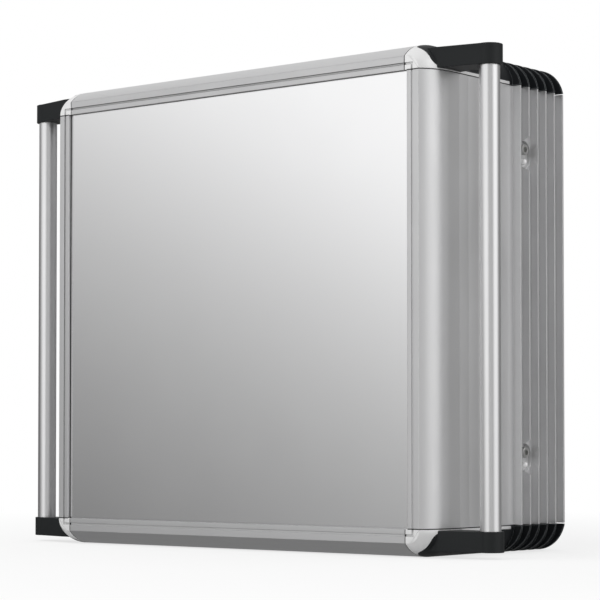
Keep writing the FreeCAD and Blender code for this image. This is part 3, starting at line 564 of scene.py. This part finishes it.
class TurnedTree:
    """Geometry Nodes tree that puts one turned part at every seat.

    Its inputs are lengths in metres, a seed that turns each part about its axis, and the finish.
    """

    NAME = "turned_part"
    FACETS = 48
    SIXTH_TURN = math.pi / 3        # most that a part is turned about its axis
    LENGTHS: tuple[str, ...] = ()

    def __init__(self) -> None:
        """Write the tree."""
        self.tree = bpy.data.node_groups.new(self.NAME, "GeometryNodeTree")
        face = self.tree.interface
        face.new_socket("Seats", in_out="INPUT", socket_type="NodeSocketGeometry")
        for name in self.LENGTHS:
            face.new_socket(name, in_out="INPUT", socket_type="NodeSocketFloat")
        face.new_socket("Seed", in_out="INPUT", socket_type="NodeSocketInt")
        face.new_socket("Finish", in_out="INPUT", socket_type="NodeSocketMaterial")
        face.new_socket("Parts", in_out="OUTPUT", socket_type="NodeSocketGeometry")
        self.given = self.tree.nodes.new("NodeGroupInput").outputs
        weld = self.tree.nodes.new("GeometryNodeMergeByDistance")
        weld.inputs["Distance"].default_value = MERGE_DISTANCE
        self.tree.links.new(self.shape(), weld.inputs["Geometry"])
        placed = self.place(weld.outputs["Geometry"])
        made = self.tree.nodes.new("NodeGroupOutput")
        self.tree.links.new(placed, made.inputs["Parts"])

    @classmethod
    def group(cls) -> bpy.types.NodeTree:
        """Write the tree, or find the one already written.

        Returns:
            The tree.
        """
        return bpy.data.node_groups.get(cls.NAME) or cls().tree

    def shape(self) -> bpy.types.NodeSocket:
        """One part, standing on its end.

        Returns:
            Its faces, not yet welded.
        """
        raise NotImplementedError

    def lifted(self, shape: bpy.types.NodeSocket, base: Value) -> bpy.types.NodeSocket:
        """Raise a shape along the part's axis.

        Args:
            shape: The shape, standing on the part's end.
            base: How far to raise it.

        Returns:
            The raised shape.
        """
        way = self.tree.nodes.new("ShaderNodeCombineXYZ")
        feed(self.tree, way.inputs["Z"], base)
        move = self.tree.nodes.new("GeometryNodeTransform")
        self.tree.links.new(shape, move.inputs["Geometry"])
        self.tree.links.new(way.outputs["Vector"], move.inputs["Translation"])
        return move.outputs["Geometry"]

    def ring(self, low_radius: Value, high_radius: Value, base: Value, height: Value,
             facets: int = 0) -> bpy.types.NodeSocket:
        """Open band round the part's axis.

        Args:
            low_radius: Its radius at the lower edge.
            high_radius: Its radius at the upper edge.
            base: How far up it starts.
            height: How tall it is.
            facets: Number of its facets, or 0 for as many as a round has.

        Returns:
            The band.
        """
        cone = self.tree.nodes.new("GeometryNodeMeshCone")
        cone.fill_type = "NONE"
        cone.inputs["Vertices"].default_value = facets or self.FACETS
        feed(self.tree, cone.inputs["Radius Bottom"], low_radius)
        feed(self.tree, cone.inputs["Radius Top"], high_radius)
        feed(self.tree, cone.inputs["Depth"], height)
        return self.lifted(cone.outputs["Mesh"], base)

    def disc(self, radius: bpy.types.NodeSocket, base: Value, facets: int = 0,
             filled: bool = True) -> bpy.types.NodeSocket:
        """Flat face across the part's axis, or only its outline.

        Args:
            radius: Its radius at the corners.
            base: How far up it lies.
            facets: Number of its sides, or 0 for as many as a round has.
            filled: False for the outline only.

        Returns:
            The face or outline.
        """
        circle = self.tree.nodes.new("GeometryNodeMeshCircle")
        circle.fill_type = "NGON" if filled else "NONE"
        circle.inputs["Vertices"].default_value = facets or self.FACETS
        feed(self.tree, circle.inputs["Radius"], radius)
        return self.lifted(circle.outputs["Mesh"], base)

    def joined(self, *shapes: bpy.types.NodeSocket) -> bpy.types.NodeSocket:
        """Join shapes.

        Args:
            shapes: The shapes.

        Returns:
            All of them as one.
        """
        join = self.tree.nodes.new("GeometryNodeJoinGeometry")
        for shape in reversed(shapes):
            self.tree.links.new(shape, join.inputs["Geometry"])
        return join.outputs["Geometry"]

    def place(self, part: bpy.types.NodeSocket) -> bpy.types.NodeSocket:
        """Put the part at every seat, each turned its own way about its axis.

        Args:
            part: One part.

        Returns:
            All the parts as one finished mesh.
        """
        nodes, links = self.tree.nodes, self.tree.links
        turn = nodes.new("GeometryNodeInputNamedAttribute")
        turn.data_type = "FLOAT_VECTOR"
        turn.inputs["Name"].default_value = "turn"
        rotation = nodes.new("FunctionNodeEulerToRotation")
        links.new(turn.outputs["Attribute"], rotation.inputs["Euler"])
        put = nodes.new("GeometryNodeInstanceOnPoints")
        links.new(self.given["Seats"], put.inputs["Points"])
        links.new(part, put.inputs["Instance"])
        links.new(rotation.outputs["Rotation"], put.inputs["Rotation"])
        spin = nodes.new("FunctionNodeRandomValue")
        spin.data_type = "FLOAT_VECTOR"
        spin.inputs["Min"].default_value = (0.0, 0.0, 0.0)
        spin.inputs["Max"].default_value = (0.0, 0.0, self.SIXTH_TURN)
        links.new(self.given["Seed"], spin.inputs["Seed"])
        tightened = nodes.new("FunctionNodeEulerToRotation")
        links.new(spin.outputs["Value"], tightened.inputs["Euler"])
        drive = nodes.new("GeometryNodeRotateInstances")
        links.new(put.outputs["Instances"], drive.inputs["Instances"])
        links.new(tightened.outputs["Rotation"], drive.inputs["Rotation"])
        real = nodes.new("GeometryNodeRealizeInstances")
        links.new(drive.outputs["Instances"], real.inputs["Geometry"])
        coated = nodes.new("GeometryNodeSetMaterial")
        links.new(real.outputs["Geometry"], coated.inputs["Geometry"])
        links.new(self.given["Finish"], coated.inputs["Material"])
        return coated.outputs["Geometry"]


class ScrewTree(TurnedTree):
    """Socket screw with a cylindrical or countersunk head."""

    NAME = "socket_screw"
    HEXAGON = 6
    LENGTHS = ("Shank Radius", "Shank Length", "Neck Radius", "Head Radius", "Head Height",
               "Edge", "Drive Flats", "Drive Depth")

    def shape(self) -> bpy.types.NodeSocket:
        """One screw on the end of its shank, with its head up.

        Returns:
            Its faces, not yet welded.
        """
        tree = self.tree
        shank, seat, neck, head, height, edge, flats, depth = (
            self.given[name] for name in self.LENGTHS)
        top = calculated(tree, "ADD", seat, height)
        shoulder = calculated(tree, "SUBTRACT", top, edge)
        rim = calculated(tree, "SUBTRACT", head, edge)
        side = calculated(tree, "SUBTRACT", shoulder, seat)
        corner = calculated(tree, "DIVIDE", flats, math.sqrt(3.0))
        floor = calculated(tree, "SUBTRACT", top, depth)
        outline = tree.nodes.new("GeometryNodeMeshToCurve")
        tree.links.new(self.joined(self.disc(rim, 0.0, filled=False),
                                   self.disc(corner, 0.0, self.HEXAGON, filled=False)),
                       outline.inputs["Mesh"])
        face = tree.nodes.new("GeometryNodeFillCurve")
        tree.links.new(outline.outputs["Curve"], face.inputs["Curve"])
        return self.joined(
            self.disc(shank, 0.0),
            self.ring(shank, shank, 0.0, seat),
            self.ring(shank, neck, seat, 0.0),
            self.ring(neck, head, seat, side),
            self.ring(head, rim, shoulder, edge),
            self.lifted(face.outputs["Mesh"], top),
            self.ring(corner, corner, floor, depth, self.HEXAGON),
            self.disc(corner, floor, self.HEXAGON),
        )


class TubeTree(TurnedTree):
    """Straight tube with broken edges at its ends."""

    NAME = "straight_tube"
    FACETS = 96
    LENGTHS = ("Radius", "Bore Radius", "Length", "Edge")

    def shape(self) -> bpy.types.NodeSocket:
        """One tube on its end.

        Returns:
            Its faces, not yet welded.
        """
        tree = self.tree
        outer, bore, length, edge = (self.given[name] for name in self.LENGTHS)
        rim = calculated(tree, "SUBTRACT", outer, edge)
        upper = calculated(tree, "SUBTRACT", length, edge)
        side = calculated(tree, "SUBTRACT", upper, edge)
        return self.joined(
            self.ring(bore, rim, 0.0, 0.0),
            self.ring(rim, outer, 0.0, edge),
            self.ring(outer, outer, edge, side),
            self.ring(outer, rim, upper, edge),
            self.ring(rim, bore, length, 0.0),
            self.ring(bore, bore, 0.0, length),
        )


def make_turned(node: str, group: bpy.types.NodeTree, places: list[Seat],
                values: dict[str, Union[float, int]], finish: Finish) -> None:
    """Let a Geometry Nodes tree make the turned parts of a construction node, which don't move.

    Args:
        node: The node's name.
        group: The tree.
        places: Where the parts sit.
        values: The tree's inputs by name, in metres.
        finish: The parts' finish.
    """
    mesh = bpy.data.meshes.new(node + "_finished")
    mesh.from_pydata([seat.start for seat in places], [], [])
    turn = mesh.attributes.new("turn", "FLOAT_VECTOR", "POINT")
    for k, seat in enumerate(places):
        turn.data[k].vector = seat.way.to_track_quat("Z", "Y").to_euler()
    piece = added(node + "_finished", mesh)
    maker = piece.modifiers.new("maker", "NODES")
    maker.node_group = group
    given = {**values, "Finish": finish.material()}
    for item in group.interface.items_tree:
        if item.name in given:
            maker[item.identifier] = given[item.name]
    bake(piece)
    close_shell(piece)
    finish_piece(piece, node, finish, Body.FRAME)


@dataclass(frozen=True)
class SocketScrew:
    """One kind of socket screw, in millimetres."""

    shank: float
    neck: float
    head: float
    height: float
    flats: float
    depth: float
    edge: float = 0.4
    seed: int = 7

    def build(self, node: str, finish: Finish, heads_outward: bool = True) -> None:
        """Make every screw of a construction node.

        Args:
            node: The node's name.
            finish: The screws' finish.
            heads_outward: True where the heads point away from the object's middle.
        """
        places = seats(node, heads_outward)
        sizes = {"Shank Radius": self.shank, "Neck Radius": self.neck, "Head Radius": self.head,
                 "Head Height": self.height, "Edge": self.edge, "Drive Flats": self.flats,
                 "Drive Depth": self.depth}
        values = {name: size * MILLIMETRE for name, size in sizes.items()}
        values["Shank Length"] = places[0].length - values["Head Height"]
        values["Seed"] = self.seed
        make_turned(node, ScrewTree.group(), places, values, finish)


FRAME_SCREW = SocketScrew(shank=1.8, neck=3.2, head=3.2, height=2.6, flats=2.5, depth=1.4,
                          edge=0.3)
HANDLE_SCREW = SocketScrew(shank=2.5, neck=2.5, head=5.0, height=2.5, flats=3.0, depth=1.9,
                           edge=0.15)
RAIL_SCREW = SocketScrew(shank=3.0, neck=4.8, head=4.8, height=5.0, flats=5.0, depth=3.0)


def close_shell(piece: bpy.types.Object) -> None:
    """Weld a generated piece, turn its faces outward and smooth its round faces.

    Args:
        piece: The piece.
    """
    shell = bmesh.new()
    shell.from_mesh(piece.data)
    bmesh.ops.remove_doubles(shell, verts=shell.verts, dist=MERGE_DISTANCE)
    bmesh.ops.recalc_face_normals(shell, faces=shell.faces)
    for line in shell.edges:
        line.smooth = len(line.link_faces) == 2 and line.calc_face_angle(0.0) < SHARP_ANGLE
    for face in shell.faces:
        face.smooth = True
    open_edges = sum(1 for line in shell.edges if len(line.link_faces) != 2)
    shell.to_mesh(piece.data)
    shell.free()
    LOG.info("%s: %d open edges", piece.name, open_edges)


def main() -> None:
    """Build every sub-assembly, the studio and the camera."""
    logging.basicConfig(level=logging.INFO, format="%(name)s: %(message)s")
    for builder in (HousingFrame(), FrontPanel(), Handles(), RibCaps(), PocketFasteners(),
                    RearDoor(), InnerFittings()):
        builder.build()
    ReflectorDome().build()
    Studio().build()
    PhotoCamera().build()


@dataclass
class HousingFrame:
    """The four profiles and four corner castings, with their seals and screws."""

    profile_edge: float = 0.26 * MILLIMETRE
    casting_edge: float = 0.3 * MILLIMETRE

    def build(self) -> None:
        """Finish the profiles, corners, seals and screws."""
        # The left and top profiles take the copies with painted shade in their grooves.
        for node, finish in (("side_profile_right", ANODISED_UPRIGHT),
                             ("side_profile_left", ANODISED_LEFT_PAINTED_SHADE),
                             ("top_profile", ANODISED_TOP_PAINTED_SHADE),
                             ("bottom_profile", ANODISED_LEVEL)):
            soften(node, finish, self.profile_edge)
        for corner in CORNERS:
            soften(f"corner_{corner}", SILVER_CASTING, self.casting_edge)
        coat("corner_seals", SEAL_RUBBER)
        FRAME_SCREW.build("corner_screws", PLAIN_STEEL)


@dataclass
class FrontPanel:
    """The front plate, its seal and the clamps behind it."""

    plate_edge: float = 0.25 * MILLIMETRE
    clamp_edge: float = 0.4 * MILLIMETRE

    def build(self) -> None:
        """Finish the plate and what holds it."""
        soften("front_plate", BRUSHED_PLATE, self.plate_edge)
        coat("front_seal", SEAL_RUBBER)
        soften("plate_clamps", ZINC_SHEET, self.clamp_edge)
        FRAME_SCREW.build("clamp_screws", PLAIN_STEEL, heads_outward=False)


@dataclass
class Handles:
    """Brackets, grip tubes, plugs and screws."""

    bracket_edge: float = 0.5 * MILLIMETRE
    tube_radius: float = 9.0 * MILLIMETRE
    bore_radius: float = 7.0 * MILLIMETRE
    tube_edge: float = 0.4 * MILLIMETRE

    def build(self) -> None:
        """Finish both handles."""
        for corner in CORNERS:
            soften(f"handle_bracket_{corner}", BLACK_BRACKET, self.bracket_edge)
        for side in SIDES:
            node = f"handle_tube_{side}"
            places = seats(node)
            values = {"Radius": self.tube_radius, "Bore Radius": self.bore_radius,
                      "Length": places[0].length, "Edge": self.tube_edge}
            make_turned(node, TubeTree.group(), places, values, SATIN_TUBE)
        coat("tube_plugs", PLAIN_STEEL)
        HANDLE_SCREW.build("handle_screws", PLAIN_STEEL)


@dataclass
class RibCaps:
    """Ribbed corner caps."""

    def build(self) -> None:
        """Finish the four caps."""
        for corner in CORNERS:
            coat(f"rib_cap_{corner}", BLACK_RIBS)


@dataclass
class PocketFasteners:
    """Socket screws and locating pins in the milled pockets."""

    def build(self) -> None:
        """Finish the screws and pins."""
        RAIL_SCREW.build("rail_screws", PLAIN_STEEL)
        coat("locating_pins", PIN_PAINTED_GLINT)


@dataclass
class RearDoor:
    """Rear door with its hinge pins, seal and latches."""

    sheet_edge: float = 0.4 * MILLIMETRE
    latch_edge: float = 0.3 * MILLIMETRE

    def build(self) -> None:
        """Finish the door and its fittings."""
        soften("rear_door", BRUSHED_PLATE, self.sheet_edge, Body.DOOR)
        coat("door_seal", SEAL_RUBBER)
        coat("hinge_pins", PLAIN_STEEL)
        coat("latch_nuts", ZINC_SHEET)
        for level in LEVELS:
            turning = Body(f"latch_{level}")
            soften(f"latch_housing_{level}", BRIGHT_PIN, self.latch_edge, Body.DOOR)
            soften(f"latch_spindle_{level}", PLAIN_STEEL, self.latch_edge, turning)
            soften(f"latch_cam_{level}", ZINC_SHEET, self.latch_edge, turning)
            soften(f"cam_screw_{level}", PLAIN_STEEL, self.latch_edge, turning)


@dataclass
class InnerFittings:
    """Rails inside the housing and their nuts."""

    rail_edge: float = 0.3 * MILLIMETRE
    nut_edge: float = 0.3 * MILLIMETRE

    def build(self) -> None:
        """Finish the rails and nuts."""
        for side in SIDES:
            soften(f"mounting_rail_{side}", ZINC_SHEET, self.rail_edge)
        soften("rail_nuts", ZINC_SHEET, self.nut_edge)


@dataclass(frozen=True)
class Reflector:
    """A bright or dark card round the object, seen in reflections only.

    Its place, half sizes and feather are angles in degrees, and its level is 1 for white.
    """

    azimuth: float
    elevation: float
    half_width: float
    half_height: float
    feather: float
    level: float
    rise_across: float = 0.0
    rise_up: float = 0.0
    lowest: float = 0.0
    highest: float = 2.0

    def offset(self, azimuth: float, elevation: float) -> tuple[float, float]:
        """How far one direction lies from the middle of this card.

        Args:
            azimuth: Direction round the object in degrees, 0 in front and 90 on the right.
            elevation: Direction above the horizon in degrees.

        Returns:
            The degrees across, from -180 to 180, and upward.
        """
        turned = azimuth - self.azimuth + HALF_CIRCLE
        return turned % (2 * HALF_CIRCLE) - HALF_CIRCLE, elevation - self.elevation

    def brightness(self, azimuth: float, elevation: float) -> float:
        """Brightness of this card in one direction.

        Args:
            azimuth: Direction round the object in degrees, 0 in front and 90 on the right.
            elevation: Direction above the horizon in degrees.

        Returns:
            The brightness, which grows by a constant share for each degree.
        """
        across, upward = self.offset(azimuth, elevation)
        grown = self.level * math.exp(self.rise_across * across + self.rise_up * upward)
        return min(self.highest, max(self.lowest, grown))

    def weight(self, azimuth: float, elevation: float) -> float:
        """How much this card covers one direction.

        Args:
            azimuth: Direction round the object in degrees, 0 in front and 90 on the right.
            elevation: Direction above the horizon in degrees.

        Returns:
            A share from 0 to 1.
        """
        across, upward = self.offset(azimuth, elevation)
        share = 1.0
        for distance, half in ((abs(across), self.half_width), (abs(upward), self.half_height)):
            step = min(1.0, max(0.0, (half + self.feather - distance) / (2 * self.feather)))
            share *= step * step * (3 - 2 * step)
        return share


@dataclass
class ReflectorDome:
    """Soft cards round the object, as one dome that only reflections see."""

    radius: float = 5.0
    base: float = 0.25
    columns: int = 120
    rows: int = 60
    # Azimuth, elevation, half width, half height, feather and level of each card.
    cards: tuple[Reflector, ...] = (
        Reflector(180.0, 0.0, 50.0, 40.0, 15.0, 0.18),
        Reflector(146.0, 5.0, 18.0, 45.0, 10.0, 0.23, rise_up=0.012, highest=0.7),
        Reflector(96.0, 5.0, 27.0, 60.0, 12.0, 1.05, rise_up=0.015, highest=1.3),
        Reflector(-40.0, 4.0, 60.0, 16.0, 6.0, 0.60, rise_across=0.042, rise_up=0.077,
                  lowest=0.10, highest=1.12),
        Reflector(42.0, 0.0, 13.0, 60.0, 8.0, 0.55),
        Reflector(-125.0, 42.0, 40.0, 30.0, 10.0, 0.70),
        Reflector(0.0, 85.0, 400.0, 32.0, 12.0, 0.70),
        Reflector(0.0, -70.0, 400.0, 50.0, 8.0, 0.20),
    )

    def build(self) -> None:
        """Make the dome, which only reflections see."""
        shell = bmesh.new()
        bmesh.ops.create_uvsphere(shell, u_segments=self.columns, v_segments=self.rows,
                                  radius=self.radius)
        mesh = bpy.data.meshes.new("reflector_dome")
        shell.to_mesh(mesh)
        shell.free()
        glow = mesh.attributes.new("glow", "FLOAT", "POINT")
        glow.data.foreach_set("value", [self.level(vertex.co) for vertex in mesh.vertices])
        for vertex in mesh.vertices:
            vertex.co += MIDDLE
        dome = added("reflector_dome", mesh)
        dome.visible_camera = False
        dome.visible_diffuse = False
        dome.visible_shadow = False
        dome.visible_transmission = False
        mesh.materials.append(self.material())
        LOG.info("reflector dome: %d cards", len(self.cards))

    def level(self, direction: Vector) -> float:
        """Brightness of the dome in one direction.

        Args:
            direction: From the object's middle outwards.

        Returns:
            The brightness, where 1 is white.
        """
        azimuth = math.degrees(math.atan2(direction.x, -direction.y))
        elevation = math.degrees(math.asin(max(-1.0, min(1.0, direction.z / self.radius))))
        level = self.base
        for card in self.cards:
            share = card.weight(azimuth, elevation)
            level += (card.brightness(azimuth, elevation) - level) * share
        return level

    def material(self) -> bpy.types.Material:
        """Light the cards by the glow stored on the dome.

        Returns:
            The material.
        """
        made = bpy.data.materials.new("reflector_cards")
        made.use_nodes = True
        made.cycles.emission_sampling = "NONE"
        tree = made.node_tree
        tree.nodes.clear()
        glow = tree.nodes.new("ShaderNodeAttribute")
        glow.attribute_name = "glow"
        light = tree.nodes.new("ShaderNodeEmission")
        out = tree.nodes.new("ShaderNodeOutputMaterial")
        tree.links.new(glow.outputs["Fac"], light.inputs["Strength"])
        tree.links.new(light.outputs["Emission"], out.inputs["Surface"])
        return made


@dataclass
class Studio:
    """White surroundings, a pale floor and a soft lamp."""

    world_level: float = 0.8
    floor_size: float = 12.0
    floor_colour: tuple[float, float, float, float] = (0.90, 0.90, 0.90, 1.0)
    floor_roughness: float = 0.9
    floor_fade: tuple[float, float] = (0.45, 1.1)
    floor_glow: float = 0.72
    lamp_place: tuple[float, float, float] = (-0.6, -1.2, 2.0)
    lamp_size: float = 1.6
    lamp_power: float = 14.0

    def build(self) -> None:
        """Make the surroundings, the floor and the lamp."""
        bpy.context.scene.view_settings.view_transform = "Standard"
        self.surroundings()
        self.floor()
        self.lamp()
        LOG.info("studio: surroundings, floor and lamp")

    def seen_directly(self, tree: bpy.types.NodeTree) -> bpy.types.NodeSocket:
        """Tell camera, glossy and transmission rays from the rest.

        Args:
            tree: A node tree of the world or of a material.

        Returns:
            A socket that is 1 for those rays.
        """
        path = tree.nodes.new("ShaderNodeLightPath")
        total = path.outputs["Is Camera Ray"]
        for name in ("Is Glossy Ray", "Is Transmission Ray"):
            total = calculated(tree, "MAXIMUM", total, path.outputs[name])
        return total

    def surroundings(self) -> None:
        """White to the eye and in reflections, and plain soft light on the object."""
        world = bpy.data.worlds.new("studio")
        bpy.context.scene.world = world
        world.use_nodes = True
        tree = world.node_tree
        tree.nodes.clear()
        shown = tree.nodes.new("ShaderNodeBackground")
        shown.inputs["Strength"].default_value = 1.0
        shown.inputs["Color"].default_value = WHITE
        light = tree.nodes.new("ShaderNodeBackground")
        light.inputs["Strength"].default_value = self.world_level
        light.inputs["Color"].default_value = WHITE
        choose = tree.nodes.new("ShaderNodeMixShader")
        out = tree.nodes.new("ShaderNodeOutputWorld")
        tree.links.new(self.seen_directly(tree), choose.inputs[0])
        tree.links.new(light.outputs[0], choose.inputs[1])
        tree.links.new(shown.outputs[0], choose.inputs[2])
        tree.links.new(choose.outputs[0], out.inputs["Surface"])

    def floor(self) -> None:
        """Pale floor that keeps the shadow near the object and turns white further out."""
        half = self.floor_size / 2
        mesh = bpy.data.meshes.new("floor")
        mesh.from_pydata([(-half, -half, 0), (half, -half, 0), (half, half, 0), (-half, half, 0)],
                         [], [(0, 1, 2, 3)])
        plane = added("floor", mesh)
        plane.visible_glossy = False
        made = bpy.data.materials.new("pale_floor")
        made.use_nodes = True
        tree = made.node_tree
        shader = tree.nodes["Principled BSDF"]
        shader.inputs["Base Color"].default_value = self.floor_colour
        shader.inputs["Roughness"].default_value = self.floor_roughness
        shader.inputs["Specular IOR Level"].default_value = 0.0
        place = tree.nodes.new("ShaderNodeTexCoord")
        reach = tree.nodes.new("ShaderNodeVectorMath")
        reach.operation = "LENGTH"
        tree.links.new(place.outputs["Object"], reach.inputs[0])
        fade = ranged(tree, reach.outputs["Value"], self.floor_fade, low=self.floor_glow,
                      blend="SMOOTHSTEP")
        both = calculated(tree, "MULTIPLY", fade, self.seen_directly(tree))
        white = tree.nodes.new("ShaderNodeEmission")
        choose = tree.nodes.new("ShaderNodeMixShader")
        out = tree.nodes["Material Output"]
        tree.links.new(both, choose.inputs[0])
        tree.links.new(shader.outputs[0], choose.inputs[1])
        tree.links.new(white.outputs[0], choose.inputs[2])
        tree.links.new(choose.outputs[0], out.inputs["Surface"])
        mesh.materials.append(made)

    def lamp(self) -> None:
        """Hang one large soft lamp that faces the object."""
        data = bpy.data.lights.new("overhead_lamp", "AREA")
        data.size = self.lamp_size
        data.energy = self.lamp_power
        lamp = added("overhead_lamp", data)
        lamp.location = self.lamp_place
        way = MIDDLE - Vector(self.lamp_place)
        lamp.rotation_euler = way.to_track_quat("-Z", "Y").to_euler()
        lamp.visible_camera = False
        lamp.visible_glossy = False


@dataclass
class PhotoCamera:
    """Camera at the photograph's place: to the right of the object and low."""

    place: tuple[float, float, float] = (1.299, -1.58625, 0.10235)
    heading: float = 39.2
    pitch: float = 1.776
    shift_up: float = 0.12
    lens: float = 128.94
    sensor: float = 36.0
    nearest: float = 0.05
    furthest: float = 50.0

    def build(self) -> None:
        """Make the camera and set it as the scene's camera."""
        data = bpy.data.cameras.new("photo_camera")
        data.lens = self.lens
        data.sensor_width = self.sensor
        data.sensor_fit = "HORIZONTAL"
        data.shift_y = self.shift_up
        data.dof.use_dof = False
        data.clip_start = self.nearest
        data.clip_end = self.furthest
        camera = added("photo_camera", data)
        camera.location = self.place
        tilt = math.radians(LEVEL_VIEW + self.pitch)
        camera.rotation_euler = Euler((tilt, 0, math.radians(self.heading)))
        bpy.context.scene.camera = camera


if __name__ == "__main__":
    main()
